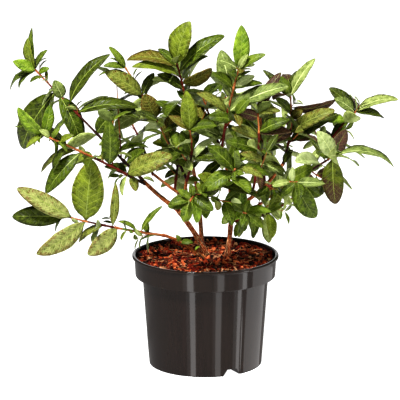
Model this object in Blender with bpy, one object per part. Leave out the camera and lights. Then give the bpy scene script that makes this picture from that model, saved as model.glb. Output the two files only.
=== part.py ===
"""A honeyberry bush in a plastic nursery pot.

Metres, +Z up. The origin is the middle of the pot's flat underside, the front faces -Y and the
right hand side is +X. Named sizes below are in millimetres and degrees.

The bush is grown by a rule. Stems and boughs are tapering limbs between named places. Each mass of
foliage is a leading twig with side twigs and pairs of leaves, drawn from a seed, and a leaf that
would touch a limb, another mass or a leaf of its own mass is turned, shortened or left out.
"""

import math

import bmesh
import bpy
import numpy as np

MM = 0.001
UP = np.array([0.0, 0.0, 1.0])
FRONT = np.array([0.0, -1.0, 0.0])

# Gap between neighbouring pieces, and the least gap at which a twig or limb starts on the tip of
# another or beside it
CLEAR = 0.3
TIP_CLEAR = 0.33
FOOT_CLEAR = 0.345
FURTHEST_FOOT = 0.4
FOOT_TRIES = 160

# Pot: a moulded plastic container with a stepped lip, 17 cm across its rim
POT_HEIGHT = 130.0
RIM_RADIUS = 85.0
RIM_BEAD = 3.0
RIM_ROUND = 0.6
LIP_HEIGHT = 25.0
LIP_TOP_RADIUS = 82.4
LIP_FOOT_RADIUS = 81.2
BODY_TOP_RADIUS = 73.1
BASE_RADIUS = 65.5
WALL = 1.6
BASE_PLATE = 1.8
EDGE_ROUND = 1.5
POT_SIDES = 40
SHARP_ANGLE = 35.0

# Drain notches in the foot of the pot: a pocket that tapers upwards, with a slot at its inner end
NOTCH_FIRST_AZIMUTH = 27.8
NOTCH_COUNT = 3
NOTCH_FOOT_WIDTH = 22.0
NOTCH_TOP_WIDTH = 12.0
NOTCH_HEIGHT = 8.0
NOTCH_DEPTH = 34.0
DRAIN_SLOT_WIDTH = 8.0
DRAIN_SLOT_LOW = 3.0
DRAIN_SLOT_HIGH = 6.5

# How far joined shapes run into each other, and how far a cutter runs past what it cuts
JOIN = 0.2
CUT_PAST = 2.0

# Compost with a layer of bark on it
SOIL_LEVEL = 128.0
SOIL_FLAT_RADIUS = 42.0
SOIL_EDGE_DROP = 3.4

# Each limb: where it starts (its foot on the soil, or a limb and how far along that), where it ends,
# how far its middle bows aside, and its radius at both ends
LIMBS = {
    "stem_left": ((1, -1), (-33, -10, 186), (6, 0, -5), 3.3, 2.7),
    "stem_back": ((-4, 27), (-15, 32, 229), (2, 3, 0), 2.6, 1.9),
    "stem_right": ((25, -6), (30, 0, 184), (1, 0, 0), 3.0, 2.5),
    "low_branch": ((-3, -11), (-46, -17, 156), (-2, 0, 4), 2.2, 1.7),
    "bough_left": (("stem_left", 1.0), (-71, -5, 218), (-2, 0, 0), 2.9, 2.1),
    "bough_left_inner": (("stem_left", 0.97), (-22, 2, 219), (2, 0, 0), 2.0, 1.7),
    "bough_top_right": (("stem_right", 1.0), (19, 8, 253), (2, 2, 0), 2.2, 1.8),
    "bough_right_front": (("stem_right", 0.93), (66, -36, 216), (2, -4, 3), 1.9, 1.7),
    "bough_right_back": (("stem_right", 0.96), (90, 22, 232), (2, 4, -6), 2.2, 1.8),
    "bough_far_right": (("bough_right_back", 0.5), (118, -4, 226), (0, 2, -4), 1.8, 1.6),
    "bough_back": (("stem_back", 0.55), (30, 92, 214), (0, 4, -4), 1.8, 1.6),
    "bough_back_left": (("stem_back", 0.5), (-62, 84, 206), (0, 2, -2), 1.8, 1.6),
    "bough_front": (("stem_left", 0.95), (-6, -62, 214), (2, -4, -3), 1.7, 1.5),
}
LIMB_STEPS = 8
LIMB_SIDES = 6
ROOT_FLARE = 0.55
ROOT_FLARE_FALL = 9.0
BARK_SHARP_ANGLE = 65.0

# Each mass of foliage: its limb and how far along that, the tip of its leading twig, the bow of that
# twig, pairs of leaves, longest leaf, size of the last pair, droop, side twigs, seed
MASSES = {
    "foliage_upper_left": ("bough_left", 1.0, (-198, 40, 341), (0, 0, -1), 5, 58, 0.34, 30, 1, 90),
    "foliage_mid_left": ("bough_left", 0.8, (-185, -42, 281), (0, -4, 3), 4, 50, 0.42, 26, 1, 43),
    "foliage_low_left": ("low_branch", 1.0, (-163, -34, 184), (0, 0, -2), 3, 34, 0.6, 8, 0, 84),
    "foliage_high_left": ("bough_left_inner", 1.0, (-93, 48, 341), (0, 4, 4), 4, 50, 0.5, 20, 1, 66),
    "foliage_top": ("stem_back", 1.0, (-33, 18, 352), (4, 0, 0), 5, 50, 0.8, 6, 1, 27),
    "foliage_top_right": ("bough_top_right", 1.0, (38, -12, 351), (-2, -2, 0), 4, 48, 0.72, 8, 1, 55),
    "foliage_centre": ("bough_right_front", 0.55, (60, -14, 300), (4, -6, 0), 4, 46, 0.7, 10, 1, 75),
    "foliage_right_top": ("bough_right_back", 1.0, (98, 22, 312), (4, 0, 0), 4, 52, 0.8, 8, 1, 60),
    "foliage_far_right_top": ("bough_far_right", 1.0, (174, 30, 292), (0, 0, 6), 4, 48, 0.8, 10, 1, 56),
    "foliage_far_right": ("bough_far_right", 0.75, (146, -52, 258), (4, -2, 4), 4, 52, 0.9, 12, 1, 30),
    "foliage_right_front": ("bough_right_front", 1.0, (104, -66, 231), (0, 0, 3), 3, 42, 0.9, 16, 1, 64),
    "foliage_low_right": ("stem_right", 0.74, (106, -30, 210), (4, 0, -7), 4, 40, 0.9, 20, 1, 15),
    "foliage_front_left": ("bough_front", 1.0, (-18, -96, 216), (0, 0, 4), 3, 32, 0.8, 10, 1, 19),
    "foliage_front_right": ("stem_right", 0.85, (46, -72, 196), (0, 0, 4), 3, 32, 0.8, 10, 1, 85),
    "foliage_front_centre": ("bough_front", 0.6, (34, -78, 250), (4, -4, 0), 4, 46, 0.9, 8, 1, 35),
    "foliage_centre_left": ("bough_left_inner", 0.85, (-18, -22, 282), (4, 0, 0), 4, 44, 0.8, 12, 1, 20),
    "foliage_inner_top": ("bough_top_right", 0.7, (-4, 30, 312), (0, 6, 0), 4, 46, 0.8, 10, 1, 20),
    "foliage_inner_right": ("bough_right_back", 0.6, (64, 42, 282), (0, 6, 0), 5, 48, 0.9, 10, 1, 69),
    "foliage_back": ("bough_back", 1.0, (26, 140, 286), (0, 8, 0), 5, 54, 0.8, 10, 1, 68),
    "foliage_back_right": ("bough_back", 0.7, (102, 116, 252), (0, 6, 6), 5, 56, 0.85, 12, 1, 66),
    "foliage_back_left": ("bough_back_left", 1.0, (-92, 138, 262), (0, 6, 4), 5, 54, 0.7, 14, 1, 47),
    "foliage_back_low_left": ("bough_back_left", 0.5, (-30, 142, 214), (0, 6, 6), 4, 48, 0.85, 12, 1, 79),
    "foliage_back_top": ("stem_back", 0.8, (-20, 92, 318), (-4, 8, 0), 4, 52, 0.8, 10, 1, 16),
    "foliage_low_back_right": ("stem_right", 0.75, (84, 64, 190), (0, 6, -4), 4, 44, 0.9, 18, 1, 87),
}

# Leaves that show clearly from the front: how far along the leading twig, the way the leaf points in
# the front view (0 right, 90 up, 180 left), its length, how far its face is turned from the front
# towards the sky (below 0, towards the ground), how far it leans to the front, and half its width as
# a share of its length
LEADING_LEAVES = {
    "foliage_upper_left": (
        (0.99, 100, 41, -40, 5, 0.2),
        (0.99, 93, 51, -30, -6, 0.1),
        (0.99, 151, 31, 35, 10, 0.25),
        (0.99, 57, 30, 50, 5, 0.18),
        (0.96, 25, 15, 40, 10, 0.3),
        (0.98, 227, 31, 72, 5, 0.25),
        (0.99, 223, 43, 70, -12, 0.16),
        (0.93, 207, 16, 60, 8, 0.25),
        (0.74, 113, 26, 15, 14, 0.34),
        (0.8, 241, 86, 34, -12, 0.22),
        (0.78, 293, 68, 30, 6, 0.2),
        (0.68, 50, 81, 48, 0, 0.14),
        (0.61, 4, 75, 52, 0, 0.14),
        (0.43, 51, 37, 25, 8, 0.27),
        (0.25, 4, 42, 72, -14, 0.18),
        (0.18, 36, 26, 60, -10, 0.16),
        (0.0, 343, 16, 50, 12, 0.29),
    ),
    "foliage_mid_left": (
        (0.99, 129, 47, -25, 10, 0.21),
        (0.99, 79, 36, -20, -10, 0.22),
        (0.99, 168, 37, 60, -10, 0.1),
        (0.98, 214, 27, 50, 10, 0.18),
        (0.95, 133, 20, 30, 22, 0.23),
        (0.86, 312, 18, 50, 12, 0.23),
        (0.89, 272, 17, 55, 4, 0.24),
        (0.83, 29, 20, 45, 14, 0.26),
        (0.91, 52, 16, 40, -8, 0.28),
        (0.62, 230, 65, 30, 6, 0.18),
        (0.66, 217, 56, 60, -14, 0.12),
        (0.34, 90, 57, -12, 8, 0.21),
        (0.17, 24, 62, 30, 10, 0.21),
        (0.13, 291, 19, 30, 20, 0.34),
        (0.25, 166, 18, 50, 8, 0.26),
    ),
    "foliage_low_left": (
        (0.91, 150, 75, 16, 4, 0.16),
        (0.96, 183, 67, 20, -12, 0.2),
        (0.78, 211, 70, -14, 14, 0.2),
        (0.6, 218, 39, 55, -10, 0.16),
        (0.47, 220, 47, -10, 14, 0.27),
        (0.52, 86, 54, -12, 0, 0.11),
        (0.78, 84, 77, 5, 5, 0.27),
        (0.28, 151, 27, 60, 8, 0.17),
        (0.24, 50, 42, 40, 0, 0.1),
        (0.02, 194, 30, 65, 6, 0.1),
    ),
    "foliage_high_left": (
        (0.99, 128, 33, 30, 0, 0.15),
        (0.99, 174, 28, 48, 10, 0.19),
        (0.91, 184, 41, 70, -8, 0.1),
        (0.71, 146, 56, 32, 8, 0.21),
        (0.72, 61, 30, 20, -14, 0.22),
        (0.5, 113, 37, 8, 18, 0.34),
        (0.58, 212, 53, 40, -12, 0.22),
        (0.3, 83, 34, 20, -12, 0.22),
        (0.3, 109, 28, 40, 12, 0.17),
        (0.26, 168, 23, 45, 10, 0.26),
        (0.35, 169, 25, 60, -6, 0.15),
    ),
    "foliage_top": (
        (0.99, 72, 55, 36, 2, 0.31),
        (0.96, 141, 33, 40, -20, 0.18),
        (0.95, 173, 64, 62, 0, 0.2),
        (0.86, 168, 63, 62, 10, 0.17),
        (0.91, 38, 71, 46, 0, 0.16),
        (0.8, 30, 41, -30, 8, 0.26),
        (0.74, 149, 38, 42, 8, 0.21),
        (0.42, 147, 51, 40, 12, 0.17),
    ),
    "foliage_top_right": (
        (0.99, 87, 53, -16, -4, 0.21),
        (0.99, 29, 39, 48, 5, 0.16),
        (0.99, 154, 28, 45, 8, 0.22),
        (0.99, 62, 26, 25, 22, 0.18),
        (0.68, 104, 54, 5, -16, 0.23),
        (0.46, 25, 82, 42, 10, 0.14),
        (0.78, 26, 28, 30, -10, 0.23),
        (0.82, 38, 26, 60, 8, 0.15),
        (0.44, 145, 48, 50, 10, 0.17),
        (0.13, 158, 48, 35, 8, 0.2),
        (0.42, 348, 26, 35, 14, 0.21),
    ),
    "foliage_centre": (
        (0.99, 62, 56, 40, -8, 0.15),
        (0.99, 8, 28, 48, 8, 0.22),
        (0.97, 159, 27, 35, 6, 0.28),
        (0.77, 24, 41, 35, 8, 0.2),
        (0.7, 158, 37, 38, 12, 0.19),
        (0.55, 162, 42, 30, 12, 0.23),
        (0.55, 208, 34, 45, 14, 0.22),
        (0.38, 336, 35, 50, 14, 0.21),
    ),
    "foliage_right_top": (
        (0.99, 57, 56, 35, 0, 0.14),
        (0.99, 72, 32, 45, -10, 0.21),
        (0.96, 136, 48, 30, -16, 0.11),
        (0.98, 117, 31, 30, 10, 0.22),
        (0.84, 13, 55, -40, 6, 0.19),
        (0.77, 138, 27, 40, 10, 0.22),
        (0.68, 41, 20, 15, 18, 0.34),
        (0.46, 32, 66, 50, 10, 0.15),
        (0.31, 28, 70, 52, -6, 0.13),
        (0.36, 186, 23, 40, 14, 0.28),
        (0.0, 56, 22, 40, 8, 0.24),
    ),
    "foliage_far_right_top": (
        (0.99, 15, 55, 60, 0, 0.17),
        (0.99, 350, 32, 55, 5, 0.22),
        (0.99, 138, 43, 30, -6, 0.21),
        (0.98, 145, 33, 40, 12, 0.27),
        (0.96, 240, 55, 52, 12, 0.16),
        (0.81, 180, 27, 40, 8, 0.24),
        (0.44, 226, 48, 20, 12, 0.11),
        (0.79, 256, 41, 65, -10, 0.12),
    ),
    "foliage_far_right": (
        (0.99, 347, 76, 80, 0, 0.18),
        (0.97, 121, 40, 20, 14, 0.27),
        (0.94, 274, 56, -12, 0, 0.25),
        (0.65, 128, 33, 45, -10, 0.17),
        (0.84, 159, 19, 40, -14, 0.3),
    ),
    "foliage_right_front": (
        (0.97, 0, 34, 25, 12, 0.2),
        (0.79, 188, 23, 35, 20, 0.23),
        (0.85, 87, 21, 20, 16, 0.22),
        (0.67, 213, 17, 50, -8, 0.23),
        (0.99, 298, 47, -20, 4, 0.31),
        (0.99, 224, 26, 30, -10, 0.26),
        (0.02, 274, 17, 15, 10, 0.34),
    ),
    "foliage_low_right": (
        (0.38, 251, 29, 30, 10, 0.19),
        (0.49, 275, 22, 25, 14, 0.25),
        (0.49, 272, 39, -15, -10, 0.2),
        (0.48, 29, 25, 45, 12, 0.24),
        (0.15, 241, 24, 30, 10, 0.26),
        (0.74, 21, 16, 40, -8, 0.26),
    ),
    "foliage_front_left": (
        (0.91, 261, 25, 20, 8, 0.29),
        (0.52, 274, 32, 20, 10, 0.2),
        (0.87, 143, 20, 35, 8, 0.27),
        (0.13, 316, 18, 40, 10, 0.28),
        (0.94, 190, 23, 40, 6, 0.24),
        (0.69, 103, 16, 30, -6, 0.34),
    ),
    "foliage_front_right": (
        (0.58, 150, 27, 45, 8, 0.22),
        (0.85, 2, 33, 48, 8, 0.21),
        (0.09, 221, 18, 30, 10, 0.34),
        (0.77, 208, 17, 20, 18, 0.34),
        (0.95, 71, 18, 35, 8, 0.32),
    ),
    "foliage_front_centre": (
        (0.96, 137, 45, 30, 6, 0.23),
        (0.91, 212, 41, 30, 12, 0.27),
        (0.99, 342, 35, 52, 10, 0.18),
        (0.99, 81, 23, 30, -4, 0.28),
    ),
    "foliage_centre_left": (
        (0.98, 95, 49, 10, 4, 0.22),
        (0.54, 114, 31, 20, 10, 0.29),
        (0.5, 160, 24, 40, 14, 0.23),
        (0.33, 47, 46, 50, 12, 0.14),
        (0.25, 154, 19, 40, 12, 0.29),
        (0.0, 355, 16, 50, 14, 0.29),
    ),
    "foliage_inner_top": (
        (0.99, 31, 26, 35, 6, 0.27),
        (0.0, 225, 41, 40, 10, 0.18),
        (0.69, 197, 24, 40, 8, 0.27),
    ),
    "foliage_back_low_left": (
        (0.39, 213, 18, 40, 10, 0.25),
    ),
}

# Leading twigs, and the furthest along a twig that a leaf grows
TWIG_RADIUS = 1.7
TWIG_TIP_RADIUS = 0.9
TWIG_STEPS = 6
TWIG_SIDES = 4
TWIG_END = 0.995

# Side twigs: their length as a share of the leading twig, their leaves' as a share of its leaves.
# A range is the least and the most that the seeded rule draws; angles in the rule are in radians
SIDE_TWIG = 0.42
SIDE_LEAF = 0.66
SIDE_PAIRS = 3
SIDE_FIRST_PAIR = 0.3
SIDE_LAST_SIZE = 0.8
SIDE_RADIUS = 0.95
SIDE_TIP_RADIUS = 0.5
SIDE_STEPS = 4
SIDE_SIDES = 3
SIDE_PLACE = (0.16, 0.32)
SIDE_ROLL = (1.2, 3.6)
SIDE_LEAN = (0.7, 1.1)
SIDE_LENGTH = (0.75, 1.15)
SIDE_SHORTER_HIGH = 0.5
SIDE_RISE = 0.15
SIDE_BOW = 0.05

# A leaf: half its width and its stalk as shares of its length, where its blade has corners (for
# leaves longer than each length), the powers that set its outline, its thickness as a share of its
# length, and the share of the way to its first corners that leaves of one mass may share
LEAF_ASPECT = 0.25
PETIOLE = 0.07
STATIONS = ((52.0, (0.12, 0.42, 0.76)), (33.0, (0.24, 0.66)), (0.0, (0.44,)))
WIDEST_POWER = 0.82
BLUNT_POWER = 0.78
LEAF_THICKNESS = 0.012
LEAST_THICKNESS = 0.4
CLEAR_STALK = 0.5
LEADING_CURL = (0.55, 1.45)
LEADING_FOLD = 0.2

# Pairs of leaves along a twig: where the first grows, how they close up towards the tip, their size
# at the foot and a quarter turn's spread; then how a leaf shortens at each new try
FIRST_PAIR = 0.16
PAIR_SPACING = 0.85
FOOT_SIZE = 0.42
PAIR_TURN = 0.3
LEAF_SIZE = (0.84, 1.1)
TRIES = 6
SHORTER = 0.94
WOBBLE = (0.003, 0.6, 3.0, 2.0)

# A seeded leaf: its lean from the twig in degrees at shares of the twig, the spread of that, its nod
# and swing, its sag as a share of the droop, the weights that turn its face along the twig, to the
# sky and outwards, the spread and roll of the face, its curl, fold and relative width
LEAN_SHARES = (0.0, 0.8, 1.0)
LEANS = (68.0, 55.0, 34.0)
LEAN_SPREAD = 12.0
NOD = 0.25
SWING = 0.35
SAG = (0.3, 1.7)
FACE_ALONG = 0.3
FACE_SKY = 0.6
FACE_OUT = 0.75
FACE_SPREAD = 0.3
FACE_ROLL = 0.45
CURL = (0.1, 0.85)
FOLD = (0.12, 0.42)
WIDTH = (0.86, 1.16)

# Room kept round twigs, side twigs, leaves and bark in the tests, as shares of their size, and the
# lowest that foliage may hang
TWIG_ROOM = 1.3
SIDE_ROOM = 1.5
LEAF_ROOM = 1.6
OUTER_ROOM = 2.0
EDGE_ROOM = 1.04
BARK_ROOM = 1.15
LOWEST_LEAF = SOIL_LEVEL + 4.0

# Base colour and roughness of each material, and the masses that aren't dark green
COLOURS = {
    "black_plastic": ((0.035, 0.032, 0.031), 0.35),
    "pine_bark": ((0.165, 0.052, 0.022), 0.85),
    "honeyberry_bark": ((0.20, 0.085, 0.045), 0.75),
    "dark_leaf": ((0.045, 0.085, 0.018), 0.55),
    "bronze_leaf": ((0.110, 0.105, 0.032), 0.55),
    "young_leaf": ((0.110, 0.190, 0.040), 0.50),
}
BRONZE_MASSES = ("foliage_low_left", "foliage_top", "foliage_right_top")
YOUNG_MASSES = ("foliage_mid_left", "foliage_top_right", "foliage_far_right")


def unit(vector):
    return np.asarray(vector, float) / np.linalg.norm(vector)


def turned(vector, axis, angle):
    """vector turned about a unit axis."""
    across = np.cross(axis, vector) * math.sin(angle)
    return vector * math.cos(angle) + across + axis * (axis @ vector) * (1 - math.cos(angle))


def sideways(direction):
    """A level unit vector across a direction."""
    across = np.cross(direction, UP)
    return unit(across) if np.linalg.norm(across) > 0.05 else np.array([1.0, 0.0, 0.0])


def curve_at(start, end, bow, share):
    """Points of a quadratic curve from start to end whose middle is pushed aside by bow."""
    share = np.asarray(share, float)[..., None]
    control = (start + end) / 2 + 2 * bow
    return (1 - share) ** 2 * start + 2 * share * (1 - share) * control + share**2 * end


def along_of(path, share):
    """The point and the direction of a path at a share of its length."""
    place = share * (len(path) - 1)
    low = min(int(place), len(path) - 2)
    step = path[low + 1] - path[low]
    return path[low] + step * (place - low), unit(step)


def ring(point, tangent, side, radius, count):
    """count points round a point, square to a tangent."""
    angles = 2 * np.pi * np.arange(count) / count
    across = np.cross(tangent, side)
    return point + radius * (np.cos(angles)[:, None] * side + np.sin(angles)[:, None] * across)


def gap_to(limbs, points):
    """The least gap between points and the bark of the limbs."""
    gaps = []
    for path, radii, _ in limbs.values():
        steps = path[1:] - path[:-1]
        offset = points[:, None] - path[None, :-1]
        along = np.clip((offset * steps).sum(-1) / (steps * steps).sum(-1), 0, 1)
        away = np.linalg.norm(offset - along[..., None] * steps, axis=-1)
        gaps.append((away - radii[:-1] - along * np.diff(radii)).min())
    return min(gaps)


def branched(limbs, start, end, bow, radius, steps):
    """Points of a limb or twig that grows from a limb, and the direction its foot faces, if that is
    given. On a tip its foot lies flat against the cut end. Part of the way up, it starts where its
    foot has just come clear of every limb."""
    parent, share = start
    root, tangent = along_of(limbs[parent][0], share)
    shares = np.linspace(0, 1, steps)
    if share == 1.0:
        return curve_at(root + tangent * TIP_CLEAR, end, bow, shares), tangent
    for first in np.linspace(0, FURTHEST_FOOT, FOOT_TRIES):
        point, ahead = curve_at(root, end, bow, [first, first + 0.02])
        tangent = unit(ahead - point)
        if gap_to(limbs, ring(point, tangent, sideways(tangent), radius, 8)) > FOOT_CLEAR:
            break
    return curve_at(point, end, bow * (1 - first) ** 2, shares), None


def limb_paths():
    """Every limb: its points, its radii and the direction its foot faces."""
    limbs = {}
    shares = np.linspace(0, 1, LIMB_STEPS)
    for name, (start, end, bow, foot_radius, tip_radius) in LIMBS.items():
        end, bow = np.array(end, float), np.array(bow, float)
        radii = np.linspace(foot_radius, tip_radius, LIMB_STEPS)
        if isinstance(start[0], str):
            points, foot = branched(limbs, start, end, bow, foot_radius, LIMB_STEPS)
        else:
            points, foot = curve_at(np.array([*start, SOIL_LEVEL + CLEAR]), end, bow, shares), UP
            radii = radii * (1 + ROOT_FLARE * np.exp(-ROOT_FLARE_FALL * shares))
        limbs[name] = (points, radii, foot)
    return limbs


def tube(path, radii, sides, foot=None):
    """A closed tapering tube of flat sides: rings carried along the path without twisting, and a cap
    at each end."""
    steps = np.diff(path, axis=0)
    tangents = np.vstack([steps[:1], steps[1:] + steps[:-1], steps[-1:]])
    if foot is not None:
        tangents[0] = foot
    side = sideways(tangents[0])
    rings = []
    for point, tangent, radius in zip(path, map(unit, tangents), radii):
        side = unit(side - tangent * (side @ tangent))
        rings.append(ring(point, tangent, side, radius, sides))
    faces = []
    for first in range(0, (len(path) - 1) * sides, sides):
        for corner in range(sides):
            a, b = first + corner, first + (corner + 1) % sides
            faces.append((a, b, b + sides, a + sides))
    last = (len(path) - 1) * sides
    faces += [tuple(reversed(range(sides))), tuple(range(last, last + sides))]
    return np.vstack(rings), faces


def leading_tube(path, foot, swell=1.0):
    return tube(path, np.linspace(TWIG_RADIUS, TWIG_TIP_RADIUS, TWIG_STEPS) * swell, TWIG_SIDES, foot)


def side_tube(path, swell=1.0):
    return tube(path, np.linspace(SIDE_RADIUS, SIDE_TIP_RADIUS, SIDE_STEPS) * swell, SIDE_SIDES)


def blade_points(leaf, share, across):
    """Points of a leaf's blade and the normals there. share runs from its foot to its tip and across
    from -1 to 1. The midrib is an arc that bends away from the face by curl, each half is lifted by
    fold, and half the width is a sine of a power of share, which puts the widest place below the
    middle and draws the tip to a point."""
    root, heading, face, length, aspect, curl, fold = leaf
    share = np.asarray(share, float)
    blade = length * (1 - PETIOLE)
    ahead = np.sin(curl * share) / curl
    back = (1 - np.cos(curl * share)) / curl
    middle = root + heading * (length * PETIOLE + blade * ahead)[..., None]
    middle = middle - face * (blade * back)[..., None]
    normal = face * np.cos(curl * share)[..., None] + heading * np.sin(curl * share)[..., None]
    half = blade * aspect * np.sin(np.pi * share**WIDEST_POWER) ** BLUNT_POWER
    aside = np.cross(heading, face) * across * math.cos(fold) + normal * abs(across) * math.sin(fold)
    return middle + half[..., None] * aside, normal


def leaf_solid(leaf, swell=1.0):
    """A closed leaf that grows from a point in its twig. Each section across it has four corners: one
    edge, the top of the midrib, the other edge and the back of the midrib."""
    root, _, _, length = leaf[:4]
    stations = next(shares for least, shares in STATIONS if length > least)
    thickness = swell * max(LEAF_THICKNESS * length, LEAST_THICKNESS)
    middle, normal = blade_points(leaf, stations, 0.0)
    edges = [blade_points(leaf, stations, across)[0] for across in (-1.0, 1.0)]
    if swell != 1.0:
        edges = [middle + (edge - middle) * EDGE_ROOM for edge in edges]
    top, back = middle + normal * thickness / 2, middle - normal * thickness / 2
    sections = np.stack([edges[0], top, edges[1], back], axis=1).reshape(-1, 3)
    points = np.vstack([sections, root, blade_points(leaf, 1.0, 0.0)[0]])
    last = 4 * len(stations) - 4
    foot, tip = last + 4, last + 5
    faces = []
    for corner in range(4):
        after = (corner + 1) % 4
        faces += [(corner, foot, after), (last + corner, last + after, tip)]
        for first in range(0, last, 4):
            a, b = first + corner, first + after
            faces += [(a, b, a + 4), (b, b + 4, a + 4)]
    return points, faces


def boxed(points, faces):
    """A shape in triangles, with its lowest and highest corners, for quick tests."""
    triangles = [(face[0], *pair) for face in faces for pair in zip(face[1:], face[2:])]
    return points, np.array(triangles), points.min(axis=0), points.max(axis=0)


def edges_cross(edged, faced):
    """Whether an edge of one shape passes through a face of the other."""
    start = edged[0][edged[1]].reshape(-1, 1, 3)
    ray = edged[0][np.roll(edged[1], -1, axis=1)].reshape(-1, 1, 3) - start
    corner, one, two = (faced[0][faced[1][:, i]][None] for i in range(3))
    first, second = one - corner, two - corner
    square = np.cross(ray, second)
    scale = (first * square).sum(-1)
    scale = np.where(np.abs(scale) < 1e-12, 1e-12, scale)
    offset = start - corner
    u = (offset * square).sum(-1) / scale
    turn = np.cross(offset, first)
    v = (ray * turn).sum(-1) / scale
    w = (second * turn).sum(-1) / scale
    return ((u >= 0) & (v >= 0) & (u + v <= 1) & (w >= 0) & (w <= 1)).any()


def touches(shape, others):
    for other in others:
        apart = (shape[2] > other[3]).any() or (other[2] > shape[3]).any()
        if not apart and (edges_cross(shape, other) or edges_cross(other, shape)):
            return True
    return False


def outer_part(leaf):
    """A swollen leaf without its stalk, for the test that keeps the leaves of one mass apart."""
    points, faces = leaf_solid(leaf, OUTER_ROOM)
    foot = len(points) - 2
    points[foot] += (points[:4].mean(axis=0) - points[foot]) * CLEAR_STALK
    return boxed(points, faces)


class Mass:
    """One mass of foliage as it grows. All lengths are in millimetres."""

    def __init__(self, name, limbs):
        row = MASSES[name]
        self.limb, self.share, tip, bow, self.pairs, self.longest, self.last_size, self.droop = row[:8]
        self.side_count, self.seed = row[8:]
        self.name = name
        self.place = list(MASSES).index(name)
        start = (self.limb, self.share)
        tip, bow = np.array(tip, float), np.array(bow, float)
        self.twig, self.foot = branched(limbs, start, tip, bow, TWIG_RADIUS, TWIG_STEPS)
        self.sides = []
        self.leaves = []
        self.outer = []
        self.shapes = [boxed(*leading_tube(self.twig, self.foot, TWIG_ROOM))]

    def grow_sides(self, taken):
        """Side twigs: each leans out from the leading twig, then turns up to the light."""
        rng = np.random.default_rng(self.place)
        length = np.linalg.norm(np.diff(self.twig, axis=0), axis=1).sum()
        tangent = along_of(self.twig, 0.5)[1]
        plane = turned(sideways(tangent), tangent, rng.uniform(0, 2 * math.pi))
        for _ in range(TRIES * self.side_count):
            share = rng.uniform(*SIDE_PLACE)
            root, tangent = along_of(self.twig, share)
            plane = turned(plane, tangent, rng.uniform(*SIDE_ROLL))
            plane = unit(plane - tangent * (plane @ tangent))
            lean = rng.uniform(*SIDE_LEAN)
            reach = length * SIDE_TWIG * rng.uniform(*SIDE_LENGTH) * (1.1 - SIDE_SHORTER_HIGH * share)
            heading = tangent * math.cos(lean) + plane * math.sin(lean)
            end = root + heading * reach + UP * reach * SIDE_RISE
            path = curve_at(root, end, -UP * reach * SIDE_BOW, np.linspace(0, 1, SIDE_STEPS))
            shape = boxed(*side_tube(path, SIDE_ROOM))
            if shape[2][2] > LOWEST_LEAF and not touches(shape, taken):
                self.sides.append(path)
                self.shapes.append(boxed(*side_tube(path, TWIG_ROOM)))
                break

    def add_leaf(self, leaf, taken):
        """Keeps a leaf if it clears the ground, everything taken and the leaves of this mass."""
        outer = outer_part(leaf)
        if outer[2][2] < LOWEST_LEAF:
            return False
        whole = boxed(*leaf_solid(leaf, LEAF_ROOM))
        if touches(whole, taken) or touches(outer, self.outer):
            return False
        self.leaves.append(leaf)
        self.outer.append(outer)
        self.shapes.append(whole)
        return True

    def grow_leading_leaves(self, taken):
        rng = np.random.default_rng(self.place)
        for share, clock, length, turn, lean, width in LEADING_LEAVES.get(self.name, ()):
            for attempt in range(3 * TRIES):
                wobble = rng.uniform(-1, 1, 4) * attempt * WOBBLE
                root = along_of(self.twig, min(share + wobble[0], TWIG_END))[0]
                angles = np.radians([clock + wobble[1], turn + wobble[2], lean + wobble[3]])
                if self.add_leaf(leaf_by_view(root, length, *angles, width), taken):
                    break

    def grow_leaves(self, taken):
        rng = np.random.default_rng(self.seed)
        leading = (self.pairs, self.longest, self.last_size, FIRST_PAIR)
        beside = (SIDE_PAIRS, self.longest * SIDE_LEAF, SIDE_LAST_SIZE, SIDE_FIRST_PAIR)
        self.grow_pairs(self.twig, leading, rng, taken)
        for path in self.sides:
            self.grow_pairs(path, beside, rng, taken)

    def grow_pairs(self, path, sizes, rng, taken):
        """Pairs of leaves along a twig, each pair turned a quarter from the last. sizes is the count
        of pairs, the longest leaf, the size of the last pair and where the first pair grows."""
        pairs, longest, last_size, first = sizes
        tangent = along_of(path, 0.5)[1]
        plane = turned(sideways(tangent), tangent, rng.uniform(0, math.pi))
        for pair in range(pairs):
            share = first + (1 - first) * (pair / (pairs - 1)) ** PAIR_SPACING
            root, tangent = along_of(path, min(share, TWIG_END))
            plane = unit(plane - tangent * (plane @ tangent))
            size = float(np.interp(share, (0.0, 0.5, 1.0), (FOOT_SIZE, 1.0, last_size)))
            for side in (1, -1):
                length = longest * size * rng.uniform(*LEAF_SIZE)
                for _ in range(TRIES):
                    leaf = seeded_leaf(root, tangent, plane * side, length, self.droop, share, rng)
                    if self.add_leaf(leaf, taken):
                        break
                    length *= SHORTER
            plane = turned(plane, tangent, math.pi / 2 + rng.uniform(-PAIR_TURN, PAIR_TURN))


def leaf_by_view(root, length, clock, turn, lean, width):
    """A leaf told by how it shows in the front view. Its chord points by clock and lean, and turn
    swings its face about that chord from the front towards the sky. A leaf seen from its edge is
    curled more than one that faces the front."""
    level = math.cos(lean)
    chord = np.array([math.cos(clock) * level, -math.sin(lean), math.sin(clock) * level])
    front = FRONT - chord * (chord @ FRONT)
    above = np.cross(chord, front)
    above = above if above[2] >= 0 else -above
    face = unit(unit(front) * math.cos(turn) + unit(above) * math.sin(turn))
    curl = np.interp(abs(turn), (0.0, math.pi / 2), LEADING_CURL)
    heading = unit(chord * math.cos(curl / 2) + face * math.sin(curl / 2))
    face = unit(face - heading * (face @ heading))
    return root, heading, face, length, width, curl, LEADING_FOLD


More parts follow.
